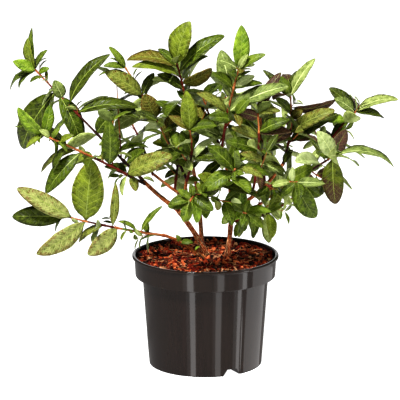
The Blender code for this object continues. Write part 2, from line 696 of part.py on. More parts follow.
def seeded_leaf(root, tangent, plane, length, droop, share, rng):
    """One leaf of a pair: it leans out from its twig, sags, and turns its face to the light."""
    lean = np.interp(share, LEAN_SHARES, LEANS) + rng.uniform(-LEAN_SPREAD, LEAN_SPREAD)
    lean = math.radians(lean)
    heading = unit(tangent * math.cos(lean) + plane * math.sin(lean))
    heading = turned(heading, unit(np.cross(tangent, plane)), rng.uniform(-NOD, NOD))
    heading = turned(heading, tangent, rng.uniform(-SWING, SWING))
    down = heading * heading[2] - UP
    if np.linalg.norm(down) > 0.1:
        sag = math.radians(droop * rng.uniform(*SAG))
        heading = unit(heading * math.cos(sag) + unit(down) * math.sin(sag))
    along = tangent - heading * (tangent @ heading)
    skyward = UP - heading * heading[2]
    outward = unit(root * (1.0, 1.0, 0.0) + tangent * 10.0)
    outward = outward - heading * (outward @ heading)
    face = FACE_ALONG * unit(along) + FACE_SKY * skyward + FACE_OUT * outward
    face = face + rng.uniform(-FACE_SPREAD, FACE_SPREAD, 3)
    face = unit(face - heading * (face @ heading))
    face = turned(face, heading, rng.uniform(-FACE_ROLL, FACE_ROLL))
    curl = rng.uniform(*CURL)
    fold = rng.uniform(*FOLD)
    return root, heading, face, length, LEAF_ASPECT * rng.uniform(*WIDTH), curl, fold


def grown_bush():
    """The limbs, and the masses with their twigs and leaves."""
    limbs = limb_paths()
    bark = []
    for path, radii, _ in limbs.values():
        bark.append(boxed(*tube(path, radii * BARK_ROOM + CLEAR, LIMB_SIDES)))
    masses = [Mass(name, limbs) for name in MASSES]
    for grow in (Mass.grow_sides, Mass.grow_leading_leaves, Mass.grow_leaves):
        for mass in masses:
            others = [shape for other in masses if other is not mass for shape in other.shapes]
            grow(mass, bark + others)
    return limbs, masses


def material(name):
    colour, roughness = COLOURS[name]
    made = bpy.data.materials.get(name) or bpy.data.materials.new(name)
    made.use_nodes = True
    shader = made.node_tree.nodes["Principled BSDF"]
    shader.inputs["Base Color"].default_value = (*colour, 1.0)
    shader.inputs["Roughness"].default_value = roughness
    shader.inputs["Metallic"].default_value = 0.0
    return made


def new_object(name, mesh, finish=None):
    mesh.name = name
    made = bpy.data.objects.new(name, mesh)
    bpy.context.scene.collection.objects.link(made)
    if finish:
        mesh.materials.append(material(finish))
    return made


def solid(name, points, faces, finish=None):
    """An object from points in millimetres."""
    mesh = bpy.data.meshes.new(name)
    mesh.from_pydata((points * MM).tolist(), [], faces)
    return new_object(name, mesh, finish)


def lathe(name, profile, finish):
    """A body turned about the Z axis. The profile starts and ends on the axis, lowest point first."""
    shape = bmesh.new()
    corners = [shape.verts.new((radius * MM, 0.0, height * MM)) for radius, height in profile]
    edges = [shape.edges.new(pair) for pair in zip(corners, corners[1:])]
    around = {"axis": UP, "cent": (0, 0, 0), "angle": 2 * math.pi, "steps": POT_SIDES}
    bmesh.ops.spin(shape, geom=corners + edges, **around)
    bmesh.ops.remove_doubles(shape, verts=shape.verts, dist=1e-6)
    bmesh.ops.recalc_face_normals(shape, faces=shape.faces)
    mesh = bpy.data.meshes.new(name)
    shape.to_mesh(mesh)
    shape.free()
    mesh.shade_smooth()
    mesh.set_sharp_from_angle(angle=math.radians(SHARP_ANGLE))
    return new_object(name, mesh, finish)


def body_radius(height):
    """Outer radius of the pot's body, below the lip."""
    return BASE_RADIUS + (BODY_TOP_RADIUS - BASE_RADIUS) * height / (POT_HEIGHT - LIP_HEIGHT)


def pot_profile():
    """The pot's section from the middle of its underside, up the outside and down the inside."""
    shelf = POT_HEIGHT - LIP_HEIGHT
    bead = POT_HEIGHT - RIM_BEAD
    outside = [
        (0.0, 0.0),
        (BASE_RADIUS - EDGE_ROUND, 0.0),
        (body_radius(EDGE_ROUND), EDGE_ROUND),
        (body_radius(shelf), shelf),
        (LIP_FOOT_RADIUS - EDGE_ROUND, shelf),
        (LIP_FOOT_RADIUS, shelf + EDGE_ROUND),
        (LIP_TOP_RADIUS, bead - RIM_ROUND),
        (RIM_RADIUS - RIM_ROUND, bead),
        (RIM_RADIUS, bead + RIM_ROUND),
        (RIM_RADIUS, POT_HEIGHT - RIM_ROUND),
        (RIM_RADIUS - RIM_ROUND, POT_HEIGHT),
    ]
    inside = [
        (LIP_TOP_RADIUS - RIM_ROUND, POT_HEIGHT),
        (LIP_TOP_RADIUS - WALL, POT_HEIGHT - 2 * RIM_ROUND),
        (LIP_FOOT_RADIUS - WALL, shelf + WALL + RIM_ROUND),
        (body_radius(shelf) - WALL, shelf + WALL),
        (body_radius(BASE_PLATE) - WALL, BASE_PLATE + EDGE_ROUND),
        (body_radius(0.0) - WALL - EDGE_ROUND, BASE_PLATE),
        (0.0, BASE_PLATE),
    ]
    return outside + inside


def fill_profile():
    """The fill's section, a gap inside the pot's wall, with a slightly mounded top."""
    shelf = POT_HEIGHT - LIP_HEIGHT + WALL
    edge = SOIL_LEVEL - SOIL_EDGE_DROP
    lip_slope = (LIP_TOP_RADIUS - LIP_FOOT_RADIUS) / (LIP_HEIGHT - RIM_BEAD)
    inner_lip = LIP_FOOT_RADIUS + lip_slope * (edge - shelf)
    inset = WALL + 1.5 * CLEAR
    return [
        (0.0, BASE_PLATE + CLEAR),
        (body_radius(0.0) - inset - EDGE_ROUND, BASE_PLATE + CLEAR),
        (body_radius(BASE_PLATE) - inset, BASE_PLATE + EDGE_ROUND + CLEAR),
        (body_radius(shelf - WALL) - inset, shelf + CLEAR),
        (LIP_FOOT_RADIUS - inset, shelf + RIM_ROUND + CLEAR),
        (inner_lip - inset, edge),
        (SOIL_FLAT_RADIUS, SOIL_LEVEL),
        (0.0, SOIL_LEVEL),
    ]


def wedges(name, near, far, low, high, low_width, high_width):
    """A cutter with one wedge at each notch, from near to far along the radius, its width changing
    from low to high. It is left out of the model."""
    sides = ((0, 1, 2, 3), (7, 6, 5, 4), (0, 4, 5, 1), (1, 5, 6, 2), (2, 6, 7, 3), (3, 7, 4, 0))
    outline = ((-low_width / 2, low), (low_width / 2, low), (high_width / 2, high), (-high_width / 2, high))
    shape = bmesh.new()
    for index in range(NOTCH_COUNT):
        azimuth = math.radians(NOTCH_FIRST_AZIMUTH + 360.0 * index / NOTCH_COUNT)
        out = np.array([math.sin(azimuth), -math.cos(azimuth), 0.0])
        beside = np.cross(UP, out)
        corners = []
        for distance in (near, far):
            for aside, height in outline:
                corners.append(shape.verts.new((out * distance + beside * aside + UP * height) * MM))
        for side in sides:
            shape.faces.new([corners[corner] for corner in side])
    bmesh.ops.recalc_face_normals(shape, faces=shape.faces)
    mesh = bpy.data.meshes.new(name)
    shape.to_mesh(mesh)
    shape.free()
    cutter = new_object(name, mesh)
    cutter.hide_render = True
    cutter.display_type = "WIRE"
    return cutter


def combine(target, other, operation):
    boolean = target.modifiers.new(other.name, "BOOLEAN")
    boolean.operation = operation
    boolean.object = other


def notch_width(height):
    """Width of a notch's outline at a height."""
    return NOTCH_FOOT_WIDTH + (NOTCH_TOP_WIDTH - NOTCH_FOOT_WIDTH) * height / NOTCH_HEIGHT


def build_pot_and_fill():
    """The pot with its drain notches, and the compost and bark that fill it. Each notch is a pocket
    cut into a housing that stands on the base plate inside the pot, and the fill leaves it room."""
    pot = lathe("pot", pot_profile(), "black_plastic")
    fill = lathe("bark_mulch", fill_profile(), "pine_bark")
    inner = BASE_RADIUS - NOTCH_DEPTH
    outer = BASE_RADIUS + CUT_PAST
    low = BASE_PLATE - JOIN
    roof = NOTCH_HEIGHT + WALL
    widths = notch_width(low) + 2 * WALL, notch_width(roof) + 2 * WALL
    housing = wedges("notch_housing", inner - WALL, BASE_RADIUS - WALL / 2, low, roof, *widths)
    combine(pot, housing, "UNION")
    widths = notch_width(-CUT_PAST), NOTCH_TOP_WIDTH
    pocket = wedges("notch_pocket", inner, outer, -CUT_PAST, NOTCH_HEIGHT, *widths)
    combine(pot, pocket, "DIFFERENCE")
    widths = DRAIN_SLOT_WIDTH, DRAIN_SLOT_WIDTH
    ends = inner - WALL - CUT_PAST, inner + CUT_PAST
    slot = wedges("drain_slot", *ends, DRAIN_SLOT_LOW, DRAIN_SLOT_HIGH, *widths)
    combine(pot, slot, "DIFFERENCE")
    gap = 2 * (WALL + 2 * CLEAR)
    widths = notch_width(-CUT_PAST) + gap, notch_width(roof) + gap
    room = wedges("notch_room", inner - WALL - 2 * CLEAR, outer, -CUT_PAST, roof + 2 * CLEAR, *widths)
    combine(fill, room, "DIFFERENCE")


def build_limbs(limbs):
    for name, (path, radii, foot) in limbs.items():
        limb = solid(name, *tube(path, radii, LIMB_SIDES, foot), "honeyberry_bark")
        limb.data.shade_smooth()
        limb.data.set_sharp_from_angle(angle=math.radians(BARK_SHARP_ANGLE))


def build_mass(mass, finish):
    """One mass: its twigs and leaves joined by one Boolean union, which is then applied."""
    made = solid(mass.name, *leading_tube(mass.twig, mass.foot), finish)
    pieces = bpy.data.collections.new(mass.name + "_pieces")
    bpy.context.scene.collection.children.link(pieces)
    shapes = [side_tube(path) for path in mass.sides] + [leaf_solid(leaf) for leaf in mass.leaves]
    for shape in shapes:
        piece = solid(mass.name + "_piece", *shape)
        bpy.context.scene.collection.objects.unlink(piece)
        pieces.objects.link(piece)
    union = made.modifiers.new("join", "BOOLEAN")
    union.operation = "UNION"
    union.operand_type = "COLLECTION"
    union.collection = pieces
    joined = made.evaluated_get(bpy.context.evaluated_depsgraph_get())
    joined = bpy.data.meshes.new_from_object(joined)
    made.modifiers.remove(union)
    made.data = joined
    made.data.name = mass.name
    for piece in list(pieces.objects):
        bpy.data.objects.remove(piece)
    bpy.data.collections.remove(pieces)


def foliage_finish(name):
    if name in BRONZE_MASSES:
        return "bronze_leaf"
    if name in YOUNG_MASSES:
        return "young_leaf"
    return "dark_leaf"


def main():
    for old in list(bpy.data.objects):
        bpy.data.objects.remove(old)
    build_pot_and_fill()
    limbs, masses = grown_bush()
    build_limbs(limbs)
    for mass in masses:
        build_mass(mass, foliage_finish(mass.name))


main()
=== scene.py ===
# %% [markdown]
# # A potted honeyberry
# A young honeyberry bush stands in a glossy dark nursery pot. Slim stems rise from a layer of bark
# chips, fork into boughs, and carry long shoots with pairs of oval leaves. Every piece below is a
# surface worked out with numpy: a profile turned round an axis, a ring carried along a path, or a
# leaf blade laid out on a small grid.

import math

import bpy
import numpy as np
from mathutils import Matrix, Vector


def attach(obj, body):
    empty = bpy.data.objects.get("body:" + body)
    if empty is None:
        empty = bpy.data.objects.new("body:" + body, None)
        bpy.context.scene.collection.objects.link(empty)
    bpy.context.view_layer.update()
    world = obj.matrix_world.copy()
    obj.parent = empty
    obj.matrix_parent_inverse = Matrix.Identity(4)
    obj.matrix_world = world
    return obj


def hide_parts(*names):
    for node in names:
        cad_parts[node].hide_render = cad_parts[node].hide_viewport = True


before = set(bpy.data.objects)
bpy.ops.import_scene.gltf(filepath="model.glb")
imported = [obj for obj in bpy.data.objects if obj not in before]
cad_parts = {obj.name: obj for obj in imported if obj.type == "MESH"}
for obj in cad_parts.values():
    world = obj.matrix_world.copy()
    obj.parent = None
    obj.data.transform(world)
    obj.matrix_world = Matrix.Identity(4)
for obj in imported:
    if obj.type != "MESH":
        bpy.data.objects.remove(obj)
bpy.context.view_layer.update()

# %% [markdown]
# ## Camera
# The photograph looks slightly down on the bush from far away, so its perspective is weak. The
# pot's rim, seen as an ellipse, gives the height of the camera: its short axis over its long axis
# is the sine of the angle. A long lens from four metres away gives the same weak perspective.

# %% Camera
CAMERA_AIM = np.array([-0.00626, 0.0, 0.19433])
CAMERA_DISTANCE = 4.0
CAMERA_ELEVATION = math.radians(13.7)
SIGHT = np.array([0.0, math.cos(CAMERA_ELEVATION), -math.sin(CAMERA_ELEVATION)])
LENS = 311.63
SENSOR = 36.0
PHOTO_PIXELS = 400


def add_camera():
    camera = bpy.data.objects.new("camera", bpy.data.cameras.new("camera"))
    bpy.context.scene.collection.objects.link(camera)
    camera.location = CAMERA_AIM - SIGHT * CAMERA_DISTANCE
    camera.rotation_euler = Vector(SIGHT).to_track_quat("-Z", "Y").to_euler()
    camera.data.lens = LENS
    bpy.context.scene.camera = camera
    return camera


camera = add_camera()
print("camera", [round(value, 3) for value in camera.location])

# %% [markdown]
# ## Shared helpers
# Sizes are kept in millimetres, as a maker would measure the plant, and turned into metres only
# when a mesh is made. A mesh is filled from whole arrays: points, then faces with three, four or
# more corners each, the finish of each face, and a pair of surface coordinates for each point.

# %% Meshes from arrays
MM = 0.001
UP = np.array([0.0, 0.0, 1.0])
FRONT = np.array([0.0, -1.0, 0.0])


def new_piece(name, points, faces, finishes, which=None, surface=None, smooth=True):
    """An object from points in millimetres. faces is a list of arrays, one for each count of
    corners; which is the finish of each face, in the order of the list; surface is a pair of
    coordinates for each point, kept as a UV map."""
    mesh = bpy.data.meshes.new(name)
    mesh.vertices.add(len(points))
    mesh.vertices.foreach_set("co", (np.asarray(points) * MM).astype(np.float32).ravel())
    corners = np.concatenate([np.asarray(group).ravel() for group in faces]).astype(np.int32)
    sizes = np.concatenate([np.full(len(group), np.asarray(group).shape[1]) for group in faces])
    mesh.loops.add(len(corners))
    mesh.loops.foreach_set("vertex_index", corners)
    mesh.polygons.add(len(sizes))
    mesh.polygons.foreach_set("loop_start", (np.cumsum(sizes) - sizes).astype(np.int32))
    if which is not None:
        mesh.polygons.foreach_set("material_index", np.asarray(which, np.int32))
    mesh.update(calc_edges=True)
    if surface is not None:
        layer = mesh.uv_layers.new(name="surface")
        layer.data.foreach_set("uv", np.asarray(surface)[corners].astype(np.float32).ravel())
    for finish in finishes:
        mesh.materials.append(finish)
    if smooth:
        mesh.shade_smooth()
    made = bpy.data.objects.new(name, mesh)
    bpy.context.scene.collection.objects.link(made)
    triangles = int((sizes - 2).sum())
    print(name, len(points), "points", triangles, "triangles")
    return made


def wrapped_grid(rows, columns):
    """Four-cornered faces between rows of points that run round a closed ring."""
    row, column = np.meshgrid(np.arange(rows - 1), np.arange(columns), indexing="ij")
    after = (column + 1) % columns
    low, high = row * columns, (row + 1) * columns
    corners = [low + column, low + after, high + after, high + column]
    return np.stack(corners, axis=-1).reshape(-1, 4)


def open_grid(rows, columns):
    """Four-cornered faces between rows of points that end at both sides."""
    row, column = np.meshgrid(np.arange(rows - 1), np.arange(columns - 1), indexing="ij")
    low, high = row * columns + column, (row + 1) * columns + column
    return np.stack([low, low + 1, high + 1, high], axis=-1).reshape(-1, 4)


def closed_tube_faces(steps, sides):
    """Faces of a tube of rings: its wall, and a cap of many corners at each end."""
    ends = np.stack([np.arange(sides)[::-1], (steps - 1) * sides + np.arange(sides)])
    return wrapped_grid(steps, sides), ends


def end_fans(rows, columns):
    """Triangles that close a wrapped grid at both ends, round two points that follow those of the
    grid: one below its first row and one above its last."""
    at = np.arange(columns)
    after = (at + 1) % columns
    last, below, above = (rows - 1) * columns, np.full(columns, rows * columns), rows * columns + 1
    over = [last + at, last + after, np.full(columns, above)]
    return np.vstack([np.stack([below, after, at], -1), np.stack(over, -1)])

# %% [markdown]
# ## Finishes
# All finishes are node networks on the Principled shader. Two effects are shared, so they are node
# groups. Mottle gives a soft random mask at a stated size, and Streaks gives one that is stretched
# along a surface coordinate, as fibres are along a stem. A group hands out only masks and normals.

# %% Node helpers


def feed(tree, socket, value):
    """Links a socket to the output of a node, or sets it to a plain value."""
    if isinstance(value, bpy.types.NodeSocket):
        tree.links.new(value, socket)
    else:
        socket.default_value = value


def node(tree, kind, inputs=(), **settings):
    """A node with its settings, and its inputs by name or number."""
    made = tree.nodes.new(kind)
    for key, value in settings.items():
        setattr(made, key, value)
    for key, value in dict(inputs).items():
        feed(tree, made.inputs[key], value)
    return made


def worked_out(tree, operation, *values, **settings):
    """What a Math node puts out."""
    inputs = enumerate(values)
    return node(tree, "ShaderNodeMath", inputs, operation=operation, **settings).outputs[0]


def ramp(tree, value, low, high, first=0.0, last=1.0, kind="SMOOTHSTEP"):
    """A mask that goes from first to last while a value goes from low to high."""
    inputs = {"Value": value, "From Min": low, "From Max": high, "To Min": first, "To Max": last}
    return node(tree, "ShaderNodeMapRange", inputs, interpolation_type=kind).outputs["Result"]


def noise(tree, place, scale, detail, **inputs):
    """A noise mask on a set of coordinates."""
    inputs = {"Vector": place, "Scale": scale, "Detail": detail, **inputs}
    return node(tree, "ShaderNodeTexNoise", inputs).outputs["Fac"]


def on_object(tree):
    return node(tree, "ShaderNodeTexCoord").outputs["Object"]


def on_surface(tree):
    return node(tree, "ShaderNodeUVMap", uv_map="surface").outputs["UV"]


def colour_blend(tree, mask, low, high):
    """A mix of two colours, plain or from a node, steered by a mask."""
    return node(tree, "ShaderNodeMix", {0: mask, 6: low, 7: high}, data_type="RGBA").outputs[2]


def srgb(red, green, blue):
    """A colour as it shows on a screen, 0 to 255, turned into the linear one of a shader."""
    shown = np.array([red, green, blue]) / 255.0
    linear = np.where(shown <= 0.04045, shown / 12.92, ((shown + 0.055) / 1.055) ** 2.4)
    return (*linear.tolist(), 1.0)


WHITE = (1.0, 1.0, 1.0, 1.0)

# %% Shared effects
MOTTLE_DETAIL = 4.0
STREAK_DETAIL = 3.0


def new_group(name, takes, gives):
    """An empty node group whose sockets are numbers, with what it takes and what it gives."""
    tree = bpy.data.node_groups.new(name, "ShaderNodeTree")
    for way, sockets in (("INPUT", takes), ("OUTPUT", gives)):
        for socket in sockets:
            tree.interface.new_socket(socket, in_out=way, socket_type="NodeSocketFloat")
    given, result = tree.nodes.new("NodeGroupInput"), tree.nodes.new("NodeGroupOutput")
    return tree, given.outputs, result.inputs


def mottle_group():
    """Soft blotches: a noise at a stated size, drawn apart around its middle."""
    tree, given, result = new_group("Mottle", ("Size", "Spread"), ("Mask",))
    scale = worked_out(tree, "DIVIDE", 1.0, given["Size"])
    blotches = noise(tree, on_object(tree), scale, MOTTLE_DETAIL)
    shift = worked_out(tree, "MULTIPLY_ADD", given["Spread"], -0.5, 0.5)
    mask = worked_out(tree, "MULTIPLY_ADD", blotches, given["Spread"], shift, use_clamp=True)
    feed(tree, result["Mask"], mask)
    return tree


def streaks_group():
    """Fibres: a noise on the surface coordinates, stretched along the second of them."""
    tree, given, result = new_group("Streaks", ("Across", "Along"), ("Mask",))
    scale = node(tree, "ShaderNodeCombineXYZ", {0: given["Across"], 1: given["Along"]}).outputs[0]
    inputs = {0: on_surface(tree), 1: scale}
    stretched = node(tree, "ShaderNodeVectorMath", inputs, operation="MULTIPLY").outputs[0]
    feed(tree, result["Mask"], noise(tree, stretched, 1.0, STREAK_DETAIL))
    return tree


MOTTLE = mottle_group()
STREAKS = streaks_group()
print("shared effects", MOTTLE.name, STREAKS.name)

# %% Effects in a finish
# How much a matt surface mirrors
MATT = 0.1


def new_finish(name, roughness, coat=0.0, specular=MATT):
    finish = bpy.data.materials.new(name)
    finish.use_nodes = True
    shader = finish.node_tree.nodes["Principled BSDF"]
    shader.inputs["Roughness"].default_value = roughness
    shader.inputs["Coat Weight"].default_value = coat
    shader.inputs["Specular IOR Level"].default_value = specular
    return finish, finish.node_tree, shader


def mottle(tree, size, spread=3.0):
    """The Mottle group in a material, with blotches of a size in metres."""
    inputs = {"Size": size, "Spread": spread}
    return node(tree, "ShaderNodeGroup", inputs, node_tree=MOTTLE).outputs["Mask"]


def streaks(tree, across, along):
    """The Streaks group in a material, with its counts across and along the surface."""
    inputs = {"Across": across, "Along": along}
    return node(tree, "ShaderNodeGroup", inputs, node_tree=STREAKS).outputs["Mask"]


def raise_surface(tree, shader, height, strength, distance):
    """A bump from a height mask. distance is in metres."""
    inputs = {"Height": height, "Strength": strength, "Distance": distance}
    feed(tree, shader.inputs["Normal"], node(tree, "ShaderNodeBump", inputs).outputs["Normal"])

# %% [markdown]
# ## The pot's sizes
# A two litre nursery pot is moulded in one shot from dark polypropylene: a tapering body, a stepped
# lip that stiffens it and lets pots be lifted from a stack, and notches in the foot for drainage.
# The sizes repeat those of the solid model, in millimetres.

# %% Sizes of the pot and its fill
# Gap between neighbouring pieces, and the least gap at which a twig or limb starts on the tip of
# another or beside it
CLEAR = 0.3
TIP_CLEAR = 0.33
FOOT_CLEAR = 0.345
FURTHEST_FOOT = 0.4
FOOT_TRIES = 160

# Pot: a moulded plastic container with a stepped lip, 17 cm across its rim
POT_HEIGHT = 130.0
RIM_RADIUS = 85.0
RIM_BEAD = 3.0
RIM_ROUND = 0.6
LIP_HEIGHT = 25.0
LIP_TOP_RADIUS = 82.4
LIP_FOOT_RADIUS = 81.2
BODY_TOP_RADIUS = 73.1
BASE_RADIUS = 65.5
WALL = 1.6
BASE_PLATE = 1.8
EDGE_ROUND = 1.5
SHARP_ANGLE = 35.0

# Drain notches in the foot of the pot: pockets that taper upwards
NOTCH_FIRST_AZIMUTH = 27.8
NOTCH_COUNT = 3
NOTCH_FOOT_WIDTH = 22.0
NOTCH_TOP_WIDTH = 12.0
NOTCH_HEIGHT = 8.0
NOTCH_DEPTH = 34.0

# How far joined shapes run into each other, and how far a cutter runs past what it cuts
JOIN = 0.2
CUT_PAST = 2.0

# Where the stems stand on the bark
SOIL_LEVEL = 128.0
print("pot", 2 * RIM_RADIUS, "mm across,", POT_HEIGHT, "mm high")

# %% [markdown]
# ## How the bush grows
# A real bush is a set of stems that fork into boughs, and each bough ends in leafy shoots. The same
# rule that grew the solid model grows the fine one: limbs are tapering curves between named places,
# and each mass of foliage is a leading shoot with side shoots and pairs of leaves. Writing the rule
# again, with the same seeds, puts each fine leaf exactly where the plain one was.

# %% Stems and boughs by name
# Each limb: where it starts (its foot on the soil, or a limb and how far along that), where it
# ends, how far its middle bows aside, and its radius at both ends
LIMBS = {
    "stem_left": ((1, -1), (-33, -10, 186), (6, 0, -5), 3.3, 2.7),
    "stem_back": ((-4, 27), (-15, 32, 229), (2, 3, 0), 2.6, 1.9),
    "stem_right": ((25, -6), (30, 0, 184), (1, 0, 0), 3.0, 2.5),
    "low_branch": ((-3, -11), (-46, -17, 156), (-2, 0, 4), 2.2, 1.7),
    "bough_left": (("stem_left", 1.0), (-71, -5, 218), (-2, 0, 0), 2.9, 2.1),
    "bough_left_inner": (("stem_left", 0.97), (-22, 2, 219), (2, 0, 0), 2.0, 1.7),
    "bough_top_right": (("stem_right", 1.0), (19, 8, 253), (2, 2, 0), 2.2, 1.8),
    "bough_right_front": (("stem_right", 0.93), (66, -36, 216), (2, -4, 3), 1.9, 1.7),
    "bough_right_back": (("stem_right", 0.96), (90, 22, 232), (2, 4, -6), 2.2, 1.8),
    "bough_far_right": (("bough_right_back", 0.5), (118, -4, 226), (0, 2, -4), 1.8, 1.6),
    "bough_back": (("stem_back", 0.55), (30, 92, 214), (0, 4, -4), 1.8, 1.6),
    "bough_back_left": (("stem_back", 0.5), (-62, 84, 206), (0, 2, -2), 1.8, 1.6),
    "bough_front": (("stem_left", 0.95), (-6, -62, 214), (2, -4, -3), 1.7, 1.5),
}
LIMB_STEPS = 8
LIMB_SIDES = 6
ROOT_FLARE = 0.55
ROOT_FLARE_FALL = 9.0
print("limbs", len(LIMBS))

# %% Masses of foliage by name
# Each mass of foliage: its limb and how far along that, the tip of its leading twig, the bow of
# that twig, pairs of leaves, longest leaf, size of the last pair, droop, side twigs, seed
MASSES = {
    "foliage_upper_left": ("bough_left", 1.0, (-198, 40, 341), (0, 0, -1), 5, 58, 0.34, 30, 1, 90),
    "foliage_mid_left": ("bough_left", 0.8, (-185, -42, 281), (0, -4, 3), 4, 50, 0.42, 26, 1, 43),
    "foliage_low_left": ("low_branch", 1.0, (-163, -34, 184), (0, 0, -2), 3, 34, 0.6, 8, 0, 84),
    "foliage_high_left": (
        "bough_left_inner", 1.0, (-93, 48, 341), (0, 4, 4), 4, 50, 0.5, 20, 1, 66,
    ),
    "foliage_top": ("stem_back", 1.0, (-33, 18, 352), (4, 0, 0), 5, 50, 0.8, 6, 1, 27),
    "foliage_top_right": (
        "bough_top_right", 1.0, (38, -12, 351), (-2, -2, 0), 4, 48, 0.72, 8, 1, 55,
    ),
    "foliage_centre": (
        "bough_right_front", 0.55, (60, -14, 300), (4, -6, 0), 4, 46, 0.7, 10, 1, 75,
    ),
    "foliage_right_top": ("bough_right_back", 1.0, (98, 22, 312), (4, 0, 0), 4, 52, 0.8, 8, 1, 60),
    "foliage_far_right_top": (
        "bough_far_right", 1.0, (174, 30, 292), (0, 0, 6), 4, 48, 0.8, 10, 1, 56,
    ),
    "foliage_far_right": (
        "bough_far_right", 0.75, (146, -52, 258), (4, -2, 4), 4, 52, 0.9, 12, 1, 30,
    ),
    "foliage_right_front": (
        "bough_right_front", 1.0, (104, -66, 231), (0, 0, 3), 3, 42, 0.9, 16, 1, 64,
    ),
    "foliage_low_right": ("stem_right", 0.74, (106, -30, 210), (4, 0, -7), 4, 40, 0.9, 20, 1, 15),
    "foliage_front_left": ("bough_front", 1.0, (-18, -96, 216), (0, 0, 4), 3, 32, 0.8, 10, 1, 19),
    "foliage_front_right": ("stem_right", 0.85, (46, -72, 196), (0, 0, 4), 3, 32, 0.8, 10, 1, 85),
    "foliage_front_centre": ("bough_front", 0.6, (34, -78, 250), (4, -4, 0), 4, 46, 0.9, 8, 1, 35),
    "foliage_centre_left": (
        "bough_left_inner", 0.85, (-18, -22, 282), (4, 0, 0), 4, 44, 0.8, 12, 1, 20,
    ),
    "foliage_inner_top": ("bough_top_right", 0.7, (-4, 30, 312), (0, 6, 0), 4, 46, 0.8, 10, 1, 20),
    "foliage_inner_right": (
        "bough_right_back", 0.6, (64, 42, 282), (0, 6, 0), 5, 48, 0.9, 10, 1, 69,
    ),
    "foliage_back": ("bough_back", 1.0, (26, 140, 286), (0, 8, 0), 5, 54, 0.8, 10, 1, 68),
    "foliage_back_right": ("bough_back", 0.7, (102, 116, 252), (0, 6, 6), 5, 56, 0.85, 12, 1, 66),
    "foliage_back_left": (
        "bough_back_left", 1.0, (-92, 138, 262), (0, 6, 4), 5, 54, 0.7, 14, 1, 47,
    ),
    "foliage_back_low_left": (
        "bough_back_left", 0.5, (-30, 142, 214), (0, 6, 6), 4, 48, 0.85, 12, 1, 79,
    ),
    "foliage_back_top": ("stem_back", 0.8, (-20, 92, 318), (-4, 8, 0), 4, 52, 0.8, 10, 1, 16),
    "foliage_low_back_right": (
        "stem_right", 0.75, (84, 64, 190), (0, 6, -4), 4, 44, 0.9, 18, 1, 87,
    ),
}
print("masses", len(MASSES))

